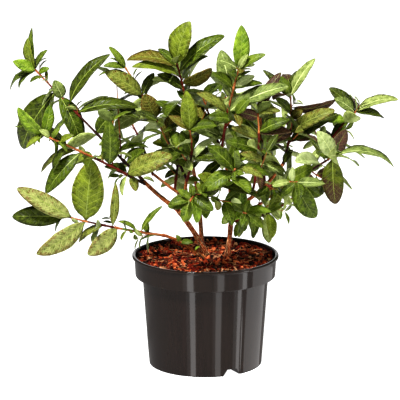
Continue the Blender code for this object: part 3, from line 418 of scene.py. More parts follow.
# %% Leaves that stand out against the sky
# Each leaf that shows clearly from the front, as it was read off the photograph: the pixels of its
# foot and of its tip, counted from the left and from the top, and its width there; how far its face
# is turned from the front towards the sky (below 0, towards the ground) and how far it leans to the
# front, in degrees; and its colour. The foot is only roughly where the leaf meets its twig
# Some of these colours are darker than the leaf's own, painted shade on leaves that face the light,
# and some paler, painted light on leaves in shade
LEADING_LEAVES = {
    "foliage_upper_left": (
        (33, 66, 28, 38, 9, -40, 5, "olive"), (33, 66, 32, 27.5, 5, -30, -6, "deep"),
        (34, 68, 13, 58.5, 11, 35, 10, "young"), (36, 69, 48, 49.5, 6, 50, 5, "deep"),
        (39, 73, 49, 68.5, 6, 40, 10, "bright"), (36, 71, 19, 88.5, 5, 72, 5, "deep"),
        (33, 68, 10, 90, 5, 70, -12, "deep"), (42, 77, 30, 82.5, 4, 60, 8, "deep"),
        (62, 98, 54, 80.5, 14, 15, 14, "dusty"), (52, 96, 22, 148, 26, 34, -12, "dark"),
        (56, 96, 81, 146, 20, 30, 6, "deep"), (71, 103, 110, 54, 13, 48, 0, "dark"),
        (78, 112, 138, 107, 13, 52, 0, "dark"), (97, 133, 115, 111, 15, 25, 8, "deep"),
        (116, 153, 149, 148, 6, 72, -14, "deep"), (124, 161, 140, 148, 4, 60, -10, "dark"),
        (143, 183, 156, 184.9, 6, 50, 12, "pale"),
    ),
    "foliage_mid_left": (
        (43, 132, 18, 107.5, 13, -25, 10, "young"), (45, 132, 50, 105, 12, -20, -10, "bright"),
        (41, 134, 15, 127, 4, 60, -10, "deep"), (45, 135, 26, 148, 6, 50, 10, "olive"),
        (48, 136, 37, 127, 7, 30, 22, "pale"), (57, 140, 67, 152, 5, 50, 12, "mid"),
        (54, 139, 55, 153.5, 4, 55, 4, "deep"), (60, 142, 74, 135, 7, 45, 14, "olive"),
        (52, 138, 60, 128, 6, 40, -8, "mid"), (80, 154, 45.5, 194, 17, 30, 6, "deep"),
        (76, 152, 41, 173, 7, 60, -14, "mottled"), (109, 166, 109.5, 120.5, 19, -12, 8, "deep"),
        (126, 174, 173, 156, 20, 30, 10, "mottled"), (130, 178, 136, 191, 14, 30, 20, "mottled"),
        (118, 171, 104, 167, 6, 50, 8, "dark"),
    ),
    "foliage_low_left": (
        (73, 217, 17, 188, 19, 16, 4, "blotched"), (67, 218, 12, 217, 21, 20, -12, "dark"),
        (85, 224, 36, 254, 20, -14, 14, "blotched"), (103, 229, 79, 242, 7, 55, -10, "mottled"),
        (117, 230, 88, 255, 19, -10, 14, "blotched"), (112, 227, 115.5, 183, 9, -12, 0, "mottled"),
        (85.5, 221, 91.5, 159, 33, 5, 5, "olive"), (137, 233, 118, 221.5, 5, 60, 8, "mid"),
        (141, 233, 163, 206, 5, 40, 0, "mid"), (163, 239, 140, 241, 3, 65, 6, "dark"),
    ),
    "foliage_high_left": (
        (125, 68, 109, 47, 7, 30, 0, "mid"), (126, 68, 103, 66, 7, 48, 10, "mid"),
        (131, 76, 98, 76, 3, 70, -8, "mid"), (140, 98, 105, 72, 17, 32, 8, "mottled"),
        (142, 96, 154, 73, 10, 20, -14, "dark"), (153, 121, 144, 94, 20, 8, 18, "bronze"),
        (149, 111, 114, 130, 16, 40, -12, "pale"), (168, 141, 171, 113, 11, 20, -12, "bronze"),
        (168, 142, 161, 122, 6, 40, 12, "bronze"), (170, 146, 152, 143, 8, 45, 10, "olive"),
        (165, 136, 145, 131, 4, 60, -6, "dark"),
    ),
    "foliage_top": (
        (177, 64, 190, 21.5, 23, 36, 2, "olive"), (178, 67, 158, 49, 8, 40, -20, "deep"),
        (178, 68, 127, 60, 13, 62, 0, "bronze"), (181, 77, 131, 67.5, 11, 62, 10, "olive"),
        (180, 72, 225, 36, 14, 46, 0, "deep"), (183, 83, 212, 68, 13, -30, 8, "bronze"),
        (184, 90, 157, 74, 11, 42, 8, "dark"), (188, 122, 155, 101, 12, 40, 12, "deep"),
    ),
    "foliage_top_right": (
        (239, 65, 241.5, 25, 17, -16, -4, "young"), (240, 68, 266.5, 54.5, 8, 48, 5, "mid"),
        (238, 67, 218, 60, 8, 45, 8, "dusty"), (239, 69, 248, 54, 7, 25, 22, "pale"),
        (231, 95, 221, 50, 20, 5, -16, "dusty"), (229, 113, 288, 86, 16, 42, 10, "dusty"),
        (236, 88, 255, 76, 10, 30, -10, "milky"), (236, 84, 251, 71, 4, 60, 8, "dark"),
        (228, 114, 196, 93, 10, 50, 10, "mottled"), (224, 139, 187, 125, 14, 35, 8, "dusty"),
        (228, 116, 248, 121, 8, 35, 14, "deep"),
    ),
    "foliage_centre": (
        (258, 114, 279, 72, 11, 40, -8, "plum"), (258, 114, 281, 111, 8, 48, 8, "mottled"),
        (258, 116, 237, 108, 11, 35, 6, "plum"), (258, 132, 290, 119.5, 12, 35, 8, "deep"),
        (258, 138, 231, 128, 10, 38, 12, "mottled"), (258, 150, 226, 141, 15, 30, 12, "deep"),
        (257, 150, 234, 164, 10, 45, 14, "mid"), (257, 164, 283, 176, 9, 50, 14, "dusty"),
    ),
    "foliage_right_top": (
        (293, 97, 315, 58.5, 11, 35, 0, "pale"), (291, 97, 298, 72, 8, 45, -10, "dark"),
        (290, 99, 263, 70, 8, 30, -16, "dark"), (291, 98, 279.5, 76, 10, 30, 10, "mid"),
        (291, 107, 335.9, 99, 10, -40, 6, "plum"), (291, 112, 275, 98, 8, 40, 10, "deep"),
        (291, 118, 303, 109, 11, 15, 18, "bronze"), (291, 133, 335, 106.5, 12, 50, 10, "mottled"),
        (289, 143, 338, 114, 11, 52, -6, "dark"), (288, 139, 271, 142, 9, 40, 14, "milky"),
        (283, 164, 293, 150, 7, 40, 8, "dark"),
    ),
    "foliage_far_right_top": (
        (356, 112, 398, 99.5, 10, 60, 0, "pale"), (357, 114, 381, 116.5, 8, 55, 5, "dark"),
        (356, 112, 329, 88, 13, 30, -6, "dark"), (355, 113, 334, 99, 12, 40, 12, "dusty"),
        (354, 114, 331, 152, 10, 52, 12, "deep"), (347, 121, 325, 121, 9, 40, 8, "young"),
        (329, 142, 302, 171, 8, 20, 12, "pale"), (349, 124, 336, 151, 4, 65, -10, "plum"),
    ),
    "foliage_far_right": (
        (335, 155, 394, 167, 8, 80, 0, "dusty"), (333, 156, 317, 131, 17, 20, 14, "milky"),
        (333, 158, 335, 204.5, 22, -12, 0, "twotone"), (325, 161, 309, 139, 7, 45, -10, "dark"),
        (330, 158, 316, 152, 8, 40, -14, "deep"),
    ),
    "foliage_right_front": (
        (296, 183, 325, 183.5, 11, 25, 12, "dusty"), (290, 182, 272, 186, 8, 35, 20, "pale"),
        (292, 181, 293, 166.9, 7, 20, 16, "milky"), (286, 183, 274, 189, 5, 50, -8, "dark"),
        (297, 184, 315, 218, 21, -20, 4, "deep"), (297, 184, 281, 196, 10, 30, -10, "deep"),
        (264, 188, 265, 203, 14, 15, 10, "deep"),
    ),
    "foliage_low_right": (
        (262, 219, 253, 238, 8, 30, 10, "deep"), (270, 216, 270, 231, 8, 25, 14, "mid"),
        (270, 217, 269, 243, 12, -15, -10, "pale"), (269, 216, 285, 204, 8, 45, 12, "mid"),
        (245, 220, 235, 237, 9, 30, 10, "mid"), (284, 205, 296, 199, 6, 40, -8, "mid"),
    ),
    "foliage_front_left": (
        (192, 201, 187, 221, 11, 20, 8, "young"), (196, 198, 197, 223, 10, 20, 10, "young"),
        (192, 200, 178, 190, 8, 35, 8, "mid"), (198, 197, 210, 206, 7, 40, 10, "mid"),
        (191, 201, 171, 204, 8, 40, 6, "mid"), (194, 198, 190, 184, 8, 30, -6, "mid"),
    ),
    "foliage_front_right": (
        (240, 211, 221, 201, 8, 45, 8, "young"), (244, 212, 271, 212, 9, 48, 8, "young"),
        (233, 214, 222, 224, 10, 30, 10, "mid"), (243, 211, 231, 219, 12, 20, 18, "young"),
        (246, 212, 250, 200, 8, 35, 8, "mid"),
    ),
    "foliage_front_centre": (
        (233, 169, 207, 145, 16, 30, 6, "deep"), (231, 170, 204, 190.5, 17, 30, 12, "mid"),
        (234, 168, 263, 178, 8, 52, 10, "mottled"), (234, 168, 238, 150, 9, 30, -4, "mid"),
    ),
    "foliage_centre_left": (
        (190, 131, 186, 91, 17, 10, 4, "olive"), (191, 153, 181, 131, 14, 20, 10, "deep"),
        (191, 155, 173, 149, 8, 40, 14, "deep"), (190.5, 163, 215, 138, 8, 50, 12, "milky"),
        (190, 167, 176, 161, 8, 40, 12, "mid"), (187, 180, 200, 181, 6, 50, 14, "mid"),
    ),
    "foliage_inner_top": (
        (202, 96, 220, 85, 10, 35, 6, "deep"), (224, 161, 200, 184, 10, 40, 10, "dark"),
        (207, 115, 190, 120, 9, 40, 8, "mid"),
    ),
    "foliage_back_low_left": (
        (178, 170, 165, 178, 6, 40, 10, "dark"),
    ),
}
print("leaves placed one by one", sum(len(rows) for rows in LEADING_LEAVES.values()))

# %% Sizes and spreads of the rule
# Leading twigs, and the furthest along a twig that a leaf grows
TWIG_RADIUS = 1.7
TWIG_TIP_RADIUS = 0.9
TWIG_STEPS = 6
TWIG_SIDES = 4
TWIG_END = 0.995

# Side twigs: their length as a share of the leading twig, their leaves' as a share of its leaves.
# A range is the least and the most that the seeded rule draws; angles in the rule are in radians
SIDE_TWIG = 0.42
SIDE_LEAF = 0.66
SIDE_PAIRS = 3
SIDE_FIRST_PAIR = 0.3
SIDE_LAST_SIZE = 0.8
SIDE_RADIUS = 0.95
SIDE_TIP_RADIUS = 0.5
SIDE_STEPS = 4
SIDE_SIDES = 3
SIDE_PLACE = (0.16, 0.32)
SIDE_ROLL = (1.2, 3.6)
SIDE_LEAN = (0.7, 1.1)
SIDE_LENGTH = (0.75, 1.15)
SIDE_LONGEST = 1.1
SIDE_SHORTER_HIGH = 0.5
SIDE_RISE = 0.15
SIDE_BOW = 0.05

# A leaf: half its width and its stalk as shares of its length, where its blade has corners (for
# leaves longer than each length), the powers that set its outline, its thickness as a share of its
# length, and the share of the way to its first corners that leaves of one mass may share
LEAF_ASPECT = 0.25
PETIOLE = 0.07
STATIONS = ((52.0, (0.12, 0.42, 0.76)), (33.0, (0.24, 0.66)), (0.0, (0.44,)))
WIDEST_POWER = 0.82
BLUNT_POWER = 0.78
LEAF_THICKNESS = 0.012
LEAST_THICKNESS = 0.4
CLEAR_STALK = 0.5
LEADING_CURL = (0.55, 1.45)
LEADING_FOLD = 0.2

# Pairs of leaves along a twig: where the first grows, how they close up towards the tip, their size
# at the foot and a quarter turn's spread; then how a leaf shortens at each new try
FIRST_PAIR = 0.16
PAIR_SPACING = 0.85
FOOT_SIZE = 0.42
PAIR_TURN = 0.3
LEAF_SIZE = (0.84, 1.1)
TRIES = 6
SHORTER = 0.94
WOBBLE = (0.003, 0.6, 3.0, 2.0)

# A seeded leaf: its lean from the twig in degrees at shares of the twig, the spread of that, its
# nod and swing, its sag as a share of the droop, the weights that turn its face along the twig, to
# the sky and outwards, the spread and roll of the face, its curl, fold and relative width
LEAN_SHARES = (0.0, 0.8, 1.0)
LEANS = (68.0, 55.0, 34.0)
LEAN_SPREAD = 12.0
NOD = 0.25
SWING = 0.35
SAG = (0.3, 1.7)
FACE_ALONG = 0.3
FACE_SKY = 0.6
FACE_OUT = 0.75
FACE_SPREAD = 0.3
FACE_ROLL = 0.45
CURL = (0.1, 0.85)
FOLD = (0.12, 0.42)
WIDTH = (0.86, 1.16)

# Room kept round twigs, side twigs, leaves and bark in the tests, as shares of their size, and the
# lowest that foliage may hang
TWIG_ROOM = 1.3
SIDE_ROOM = 1.5
LEAF_ROOM = 1.6
OUTER_ROOM = 2.0
EDGE_ROOM = 1.04
BARK_ROOM = 1.15
LOWEST_LEAF = SOIL_LEVEL + 4.0

# %% [markdown]
# ## Curves
# A limb is a quadratic curve: a straight line whose middle is pushed aside. Directions along it
# come from its steps, and a ring of points square to it gives the bark or the test for a free foot.

# %% Directions and curves
# How near to upright a direction has no side of its own, and the step and the corners by which the
# foot of a limb or twig is tested
UPRIGHT = 0.05
FOOT_STEP = 0.02
FOOT_CORNERS = 8


def unit(vector):
    return np.asarray(vector, float) / np.linalg.norm(vector)


def turned(vector, axis, angle):
    """vector turned about a unit axis."""
    across = np.cross(axis, vector) * math.sin(angle)
    return vector * math.cos(angle) + across + axis * (axis @ vector) * (1 - math.cos(angle))


def sideways(direction):
    """A level unit vector across a direction."""
    across = np.cross(direction, UP)
    return unit(across) if np.linalg.norm(across) > UPRIGHT else np.array([1.0, 0.0, 0.0])


def quadratic(start, control, end, share):
    """A curve from start to end that is drawn towards a control point."""
    share = np.asarray(share, float)[..., None]
    return (1 - share) ** 2 * start + 2 * share * (1 - share) * control + share**2 * end


def curve_at(start, end, bow, share):
    """Points of a quadratic curve from start to end whose middle is pushed aside by bow."""
    return quadratic(start, (start + end) / 2 + 2 * bow, end, share)


def along_of(path, share):
    """The point and the direction of a path at a share of its length."""
    place = share * (len(path) - 1)
    low = min(int(place), len(path) - 2)
    step = path[low + 1] - path[low]
    return path[low] + step * (place - low), unit(step)


def ring(point, tangent, side, radius, count):
    """count points round a point, square to a tangent."""
    angles = 2 * np.pi * np.arange(count) / count
    across = np.cross(tangent, side)
    return point + radius * (np.cos(angles)[:, None] * side + np.sin(angles)[:, None] * across)


def gap_to(limbs, points):
    """The least gap between points and the bark of the limbs."""
    gaps = []
    for path, radii in limbs.values():
        steps = path[1:] - path[:-1]
        offset = points[:, None] - path[None, :-1]
        along = np.clip((offset * steps).sum(-1) / (steps * steps).sum(-1), 0, 1)
        away = np.linalg.norm(offset - along[..., None] * steps, axis=-1)
        gaps.append((away - radii[:-1] - along * np.diff(radii)).min())
    return min(gaps)


def branched(limbs, start, end, bow, radius, steps):
    """Points of a limb or twig that grows from a limb, and the direction its foot faces, if that is
    given. On a tip its foot lies flat against the cut end. Part of the way up, it starts where its
    foot has just come clear of every limb."""
    parent, share = start
    root, tangent = along_of(limbs[parent][0], share)
    shares = np.linspace(0, 1, steps)
    if share == 1.0:
        return curve_at(root + tangent * TIP_CLEAR, end, bow, shares), tangent
    for first in np.linspace(0, FURTHEST_FOOT, FOOT_TRIES):
        point, ahead = curve_at(root, end, bow, [first, first + FOOT_STEP])
        tangent = unit(ahead - point)
        foot = ring(point, tangent, sideways(tangent), radius, FOOT_CORNERS)
        if gap_to(limbs, foot) > FOOT_CLEAR:
            break
    return curve_at(point, end, bow * (1 - first) ** 2, shares), None

# %% Limbs and plain tubes


def limb_paths():
    """Every limb: its points and its radii."""
    limbs = {}
    shares = np.linspace(0, 1, LIMB_STEPS)
    for name, (start, end, bow, foot_radius, tip_radius) in LIMBS.items():
        end, bow = np.array(end, float), np.array(bow, float)
        radii = np.linspace(foot_radius, tip_radius, LIMB_STEPS)
        if isinstance(start[0], str):
            points, _ = branched(limbs, start, end, bow, foot_radius, LIMB_STEPS)
        else:
            points = curve_at(np.array([*start, SOIL_LEVEL + CLEAR]), end, bow, shares)
            radii = radii * (1 + ROOT_FLARE * np.exp(-ROOT_FLARE_FALL * shares))
        limbs[name] = (points, radii)
    return limbs


def tube(path, radii, sides, foot=None):
    """A closed tapering tube of flat sides: rings carried along the path without twisting, and a
    cap at each end."""
    steps = np.diff(path, axis=0)
    tangents = np.vstack([steps[:1], steps[1:] + steps[:-1], steps[-1:]])
    if foot is not None:
        tangents[0] = foot
    side = sideways(tangents[0])
    rings = []
    for point, tangent, radius in zip(path, map(unit, tangents), radii):
        side = unit(side - tangent * (side @ tangent))
        rings.append(ring(point, tangent, side, radius, sides))
    walls, caps = closed_tube_faces(len(path), sides)
    return np.vstack(rings), [*walls, *caps]


def leading_tube(path, foot, swell):
    radii = np.linspace(TWIG_RADIUS, TWIG_TIP_RADIUS, TWIG_STEPS) * swell
    return tube(path, radii, TWIG_SIDES, foot)


def side_tube(path, swell):
    return tube(path, np.linspace(SIDE_RADIUS, SIDE_TIP_RADIUS, SIDE_STEPS) * swell, SIDE_SIDES)

# %% [markdown]
# ## A leaf as a surface
# A honeyberry leaf is a long oval with a smooth edge, folded a little along its midrib and curled
# back along its length. Two numbers place any point of it: how far from foot to tip, and how far
# across. The plain leaf has a few such points, the fine one has more, so both have one outline.

# %% Leaf blade


def blade_points(leaf, share, across):
    """Points of a leaf's blade and the normals there. share runs from its foot to its tip and
    across from -1 to 1. The midrib is an arc that bends away from the face by curl, each half is
    lifted by fold, and half the width is a sine of a power of share, which puts the widest place
    below the middle and draws the tip to a point."""
    root, heading, face, length, aspect, curl, fold = leaf
    share = np.asarray(share, float)
    blade = length * (1 - PETIOLE)
    ahead = np.sin(curl * share) / curl
    back = (1 - np.cos(curl * share)) / curl
    middle = root + heading * (length * PETIOLE + blade * ahead)[..., None]
    middle = middle - face * (blade * back)[..., None]
    normal = face * np.cos(curl * share)[..., None] + heading * np.sin(curl * share)[..., None]
    half = blade * aspect * np.sin(np.pi * share**WIDEST_POWER) ** BLUNT_POWER
    aside = np.cross(heading, face) * across * math.cos(fold)
    aside = aside + normal * abs(across) * math.sin(fold)
    return middle + half[..., None] * aside, normal


def leaf_solid(leaf, swell=1.0):
    """A closed leaf that grows from a point in its twig. Each section across it has four corners:
    one edge, the top of the midrib, the other edge and the back of the midrib."""
    root, _, _, length = leaf[:4]
    stations = next(shares for least, shares in STATIONS if length > least)
    thickness = swell * max(LEAF_THICKNESS * length, LEAST_THICKNESS)
    middle, normal = blade_points(leaf, stations, 0.0)
    edges = [blade_points(leaf, stations, across)[0] for across in (-1.0, 1.0)]
    if swell != 1.0:
        edges = [middle + (edge - middle) * EDGE_ROOM for edge in edges]
    top, back = middle + normal * thickness / 2, middle - normal * thickness / 2
    sections = np.stack([edges[0], top, edges[1], back], axis=1).reshape(-1, 3)
    points = np.vstack([sections, root, blade_points(leaf, 1.0, 0.0)[0]])
    last = 4 * len(stations) - 4
    foot, tip = last + 4, last + 5
    faces = []
    for corner in range(4):
        after = (corner + 1) % 4
        faces += [(corner, foot, after), (last + corner, last + after, tip)]
        for first in range(0, last, 4):
            a, b = first + corner, first + after
            faces += [(a, b, a + 4), (b, b + 4, a + 4)]
    return points, faces

# %% [markdown]
# ## Leaves that don't pass through each other
# Real leaves push each other aside. The rule tests each new leaf, a little swollen, against all
# that stands near it: does an edge of one pass through a face of the other? Boxes round the shapes
# answer most tests at once, and the rest are whole arrays of edges against faces.

# %% Tests for touching
NEAR_ZERO = 1e-12


def boxed(points, faces):
    """A shape in triangles, with its lowest and highest corners, for quick tests."""
    triangles = [(face[0], *pair) for face in faces for pair in zip(face[1:], face[2:])]
    return points, np.array(triangles), points.min(axis=0), points.max(axis=0)


def edges_cross(edged, faced):
    """Whether an edge of one shape passes through a face of the other."""
    start = edged[0][edged[1]].reshape(-1, 1, 3)
    ray = edged[0][np.roll(edged[1], -1, axis=1)].reshape(-1, 1, 3) - start
    corner, one, two = (faced[0][faced[1][:, i]][None] for i in range(3))
    first, second = one - corner, two - corner
    square = np.cross(ray, second)
    scale = (first * square).sum(-1)
    scale = np.where(np.abs(scale) < NEAR_ZERO, NEAR_ZERO, scale)
    offset = start - corner
    u = (offset * square).sum(-1) / scale
    turn = np.cross(offset, first)
    v = (ray * turn).sum(-1) / scale
    w = (second * turn).sum(-1) / scale
    return ((u >= 0) & (v >= 0) & (u + v <= 1) & (w >= 0) & (w <= 1)).any()


def touches(shape, others):
    for other in others:
        apart = (shape[2] > other[3]).any() or (other[2] > shape[3]).any()
        if not apart and (edges_cross(shape, other) or edges_cross(other, shape)):
            return True
    return False


def outer_part(leaf):
    """A swollen leaf without its stalk, for the test that keeps the leaves of one mass apart."""
    points, faces = leaf_solid(leaf, OUTER_ROOM)
    foot = len(points) - 2
    points[foot] += (points[:4].mean(axis=0) - points[foot]) * CLEAR_STALK
    return boxed(points, faces)

# %% [markdown]
# ## A mass of foliage
# Each mass grows in three rounds: side shoots, the leaves that stand out, then seeded pairs of
# leaves, each pair turned a quarter from the last, as on the real plant. All masses finish a round
# before any starts the next, so no mass takes another's room. The leaves that stand out could be
# set by trial in the viewport. Here they are read off the photograph once, and the camera's own
# rule turns each reading into a place on the twig, a direction, a length and a width.

# %% A mass as it grows


class Mass:
    """One mass of foliage as it grows. All lengths are in millimetres."""

    def __init__(self, name, limbs):
        row = MASSES[name]
        *start, tip, bow, self.pairs, self.longest = row[:6]
        self.last_size, self.droop, self.side_count, self.seed = row[6:]
        self.name = name
        self.place = list(MASSES).index(name)
        tip, bow = np.array(tip, float), np.array(bow, float)
        self.twig, foot = branched(limbs, start, tip, bow, TWIG_RADIUS, TWIG_STEPS)
        self.sides = []
        self.leaves = []
        self.looks = []
        self.outer = []
        self.shapes = [boxed(*leading_tube(self.twig, foot, TWIG_ROOM))]

    def grow_sides(self, taken):
        """Side twigs: each leans out from the leading twig, then turns up to the light."""
        rng = np.random.default_rng(self.place)
        length = np.linalg.norm(np.diff(self.twig, axis=0), axis=1).sum()
        tangent = along_of(self.twig, 0.5)[1]
        plane = turned(sideways(tangent), tangent, rng.uniform(0, 2 * math.pi))
        for _ in range(TRIES * self.side_count):
            share = rng.uniform(*SIDE_PLACE)
            root, tangent = along_of(self.twig, share)
            plane = turned(plane, tangent, rng.uniform(*SIDE_ROLL))
            plane = unit(plane - tangent * (plane @ tangent))
            lean = rng.uniform(*SIDE_LEAN)
            reach = length * SIDE_TWIG * rng.uniform(*SIDE_LENGTH)
            reach *= SIDE_LONGEST - SIDE_SHORTER_HIGH * share
            heading = tangent * math.cos(lean) + plane * math.sin(lean)
            end = root + heading * reach + UP * reach * SIDE_RISE
            path = curve_at(root, end, -UP * reach * SIDE_BOW, np.linspace(0, 1, SIDE_STEPS))
            shape = boxed(*side_tube(path, SIDE_ROOM))
            if shape[2][2] > LOWEST_LEAF and not touches(shape, taken):
                self.sides.append(path)
                self.shapes.append(boxed(*side_tube(path, TWIG_ROOM)))
                break

    def add_leaf(self, leaf, taken, look=None):
        """Keeps a leaf if it clears the ground, everything taken and the leaves of this mass."""
        outer = outer_part(leaf)
        if outer[2][2] < LOWEST_LEAF:
            return False
        whole = boxed(*leaf_solid(leaf, LEAF_ROOM))
        if touches(whole, taken) or touches(outer, self.outer):
            return False
        self.leaves.append(leaf)
        self.looks.append(look)
        self.outer.append(outer)
        self.shapes.append(whole)
        return True

    def grow_leading_leaves(self, taken):
        rng = np.random.default_rng(self.place)
        for *reading, look in LEADING_LEAVES.get(self.name, ()):
            share, clock, length, turn, lean, width = placed(self.twig, *reading)
            for attempt in range(3 * TRIES):
                wobble = rng.uniform(-1, 1, 4) * attempt * WOBBLE
                root = along_of(self.twig, min(share + wobble[0], TWIG_END))[0]
                angles = np.radians([clock + wobble[1], turn + wobble[2], lean + wobble[3]])
                if self.add_leaf(leaf_by_view(root, length, *angles, width), taken, look):
                    break

    def grow_leaves(self, taken):
        rng = np.random.default_rng(self.seed)
        leading = (self.pairs, self.longest, self.last_size, FIRST_PAIR)
        beside = (SIDE_PAIRS, self.longest * SIDE_LEAF, SIDE_LAST_SIZE, SIDE_FIRST_PAIR)
        self.grow_pairs(self.twig, leading, rng, taken)
        for path in self.sides:
            self.grow_pairs(path, beside, rng, taken)

    def grow_pairs(self, path, sizes, rng, taken):
        """Pairs of leaves along a twig, each pair turned a quarter from the last. sizes is the
        count of pairs, the longest leaf, the size of the last pair and where the first pair
        grows."""
        pairs, longest, last_size, first = sizes
        tangent = along_of(path, 0.5)[1]
        plane = turned(sideways(tangent), tangent, rng.uniform(0, math.pi))
        for pair in range(pairs):
            share = first + (1 - first) * (pair / (pairs - 1)) ** PAIR_SPACING
            root, tangent = along_of(path, min(share, TWIG_END))
            plane = unit(plane - tangent * (plane @ tangent))
            size = float(np.interp(share, (0.0, 0.5, 1.0), (FOOT_SIZE, 1.0, last_size)))
            for side in (1, -1):
                length = longest * size * rng.uniform(*LEAF_SIZE)
                for _ in range(TRIES):
                    leaf = seeded_leaf(root, tangent, plane * side, length, self.droop, share, rng)
                    if self.add_leaf(leaf, taken):
                        break
                    length *= SHORTER
            plane = turned(plane, tangent, math.pi / 2 + rng.uniform(-PAIR_TURN, PAIR_TURN))

# %% A leaf by its view


def leaf_by_view(root, length, clock, turn, lean, width):
    """A leaf told by how it shows in the front view. Its chord points by clock and lean, and turn
    swings its face about that chord from the front towards the sky. A leaf seen from its edge is
    curled more than one that faces the front."""
    level = math.cos(lean)
    chord = np.array([math.cos(clock) * level, -math.sin(lean), math.sin(clock) * level])
    front = FRONT - chord * (chord @ FRONT)
    above = np.cross(chord, front)
    above = above if above[2] >= 0 else -above
    face = unit(unit(front) * math.cos(turn) + unit(above) * math.sin(turn))
    curl = np.interp(abs(turn), (0.0, math.pi / 2), LEADING_CURL)
    heading = unit(chord * math.cos(curl / 2) + face * math.sin(curl / 2))
    face = unit(face - heading * (face @ heading))
    return root, heading, face, length, width, curl, LEADING_FOLD

# %% A leaf by the photograph
TWIG_SAMPLES = 400
OUTLINE_SAMPLES = 25
FIT_ROUNDS = 12
FIT_LENGTH = 60.0
FIT_ASPECTS = (0.1, 0.34)


def in_photograph(points):
    """Pixels at which points in millimetres show: how far they are to the right of the line of
    sight and above it, over how far they are along it."""
    offset = np.asarray(points) * MM - (CAMERA_AIM - SIGHT * CAMERA_DISTANCE)
    zoom = LENS / SENSOR * PHOTO_PIXELS / (offset @ SIGHT)
    above = offset @ np.cross((1.0, 0.0, 0.0), SIGHT)
    middle, aside = PHOTO_PIXELS / 2, offset[..., 0]
    return np.stack([middle + zoom * aside, middle - zoom * above], axis=-1)


def shown_leaf(*view):
    """Pixels of a leaf's left edge, midrib and right edge, from foot to tip."""
    leaf, share = leaf_by_view(*view), np.linspace(0, 1, OUTLINE_SAMPLES)
    lines = [blade_points(leaf, share, side)[0] for side in (-1.0, 0.0, 1.0)]
    return in_photograph(np.array(lines))


def clock_of(step):
    """The angle of a step in pixels, which count downwards."""
    return math.atan2(-step[1], step[0])


def placed(twig, foot_x, foot_y, tip_x, tip_y, width, turn, lean):
    """How far along its twig a leaf stands, its clock, length, turn, lean and relative width. It
    stands where the twig shows nearest to the reading of its foot. From there it is turned by the
    angle and scaled by the ratio that its tip and its width are still off, a few times over, and
    rounded."""
    shares = np.linspace(0, TWIG_END, TWIG_SAMPLES)
    places = in_photograph([along_of(twig, share)[0] for share in shares])
    nearest = np.linalg.norm(places - (foot_x, foot_y), axis=1).argmin()
    share = round(float(shares[nearest]), 2)
    root = along_of(twig, min(share, TWIG_END))[0]
    tip, angles = np.array([tip_x, tip_y]), np.radians([turn, lean])
    clock, length, aspect = clock_of(tip - places[nearest]), FIT_LENGTH, LEAF_ASPECT
    for _ in range(FIT_ROUNDS):
        midrib = shown_leaf(root, length, clock, *angles, aspect)[1]
        have, want = midrib[-1] - midrib[0], tip - midrib[0]
        length *= np.linalg.norm(want) / np.linalg.norm(have)
        clock += clock_of(want) - clock_of(have)
        outline = shown_leaf(root, length, clock, *angles, aspect)
        chord = outline[1][-1] - outline[1][0]
        aside = outline @ (-chord[1], chord[0]) / np.linalg.norm(chord)
        aspect = float(np.clip(aspect * width / np.ptp(aside, axis=0).max(), *FIT_ASPECTS))
    return share, round(math.degrees(clock)) % 360, round(length), turn, lean, round(aspect, 2)

# %% A leaf by seed
# Half the width of the bush's middle, and how far from upright a leaf has to be to sag
MIDDLE = 10.0
LEAST_SAG = 0.1


def outward_from(root, tangent):
    """Level away from the middle of the bush, and along the twig near the middle."""
    return unit(root * (1.0, 1.0, 0.0) + tangent * MIDDLE)


def seeded_leaf(root, tangent, plane, length, droop, share, rng):
    """One leaf of a pair: it leans out from its twig, sags, and turns its face to the light."""
    lean = np.interp(share, LEAN_SHARES, LEANS) + rng.uniform(-LEAN_SPREAD, LEAN_SPREAD)
    lean = math.radians(lean)
    heading = unit(tangent * math.cos(lean) + plane * math.sin(lean))
    heading = turned(heading, unit(np.cross(tangent, plane)), rng.uniform(-NOD, NOD))
    heading = turned(heading, tangent, rng.uniform(-SWING, SWING))
    down = heading * heading[2] - UP
    if np.linalg.norm(down) > LEAST_SAG:
        sag = math.radians(droop * rng.uniform(*SAG))
        heading = unit(heading * math.cos(sag) + unit(down) * math.sin(sag))
    along = tangent - heading * (tangent @ heading)
    skyward = UP - heading * heading[2]
    outward = outward_from(root, tangent)
    outward = outward - heading * (outward @ heading)
    face = FACE_ALONG * unit(along) + FACE_SKY * skyward + FACE_OUT * outward
    face = face + rng.uniform(-FACE_SPREAD, FACE_SPREAD, 3)
    face = unit(face - heading * (face @ heading))
    face = turned(face, heading, rng.uniform(-FACE_ROLL, FACE_ROLL))
    curl = rng.uniform(*CURL)
    fold = rng.uniform(*FOLD)
    return root, heading, face, length, LEAF_ASPECT * rng.uniform(*WIDTH), curl, fold

# %% Grow the bush


def grown_bush():
    """The limbs, and the masses with their twigs and leaves."""
    limbs = limb_paths()
    bark = []
    for path, radii in limbs.values():
        bark.append(boxed(*tube(path, radii * BARK_ROOM + CLEAR, LIMB_SIDES)))
    masses = [Mass(name, limbs) for name in MASSES]
    for grow in (Mass.grow_sides, Mass.grow_leading_leaves, Mass.grow_leaves):
        for mass in masses:
            others = [shape for other in masses if other is not mass for shape in other.shapes]
            grow(mass, bark + others)
    return limbs, masses


limbs, masses = grown_bush()
print("limbs", len(limbs), "leaves", sum(len(mass.leaves) for mass in masses))

# %% [markdown]
# ## Light and floor
# A product photograph on white is taken on a floor that glows, with soft panels above it. The wall
# of the pot narrows towards its foot, so from a camera that looks down on it, it mirrors the floor
# in front of it. Its upright light bands are therefore strips of brighter floor that widen away
# from it. Each strip is worked out by the mirror rule: the view direction less twice its part along
# the wall's normal, followed from the wall down to the floor.

# %% Floor and light strips
FLOOR_SIZE = 24.0
FLOOR_GLOW = 0.95
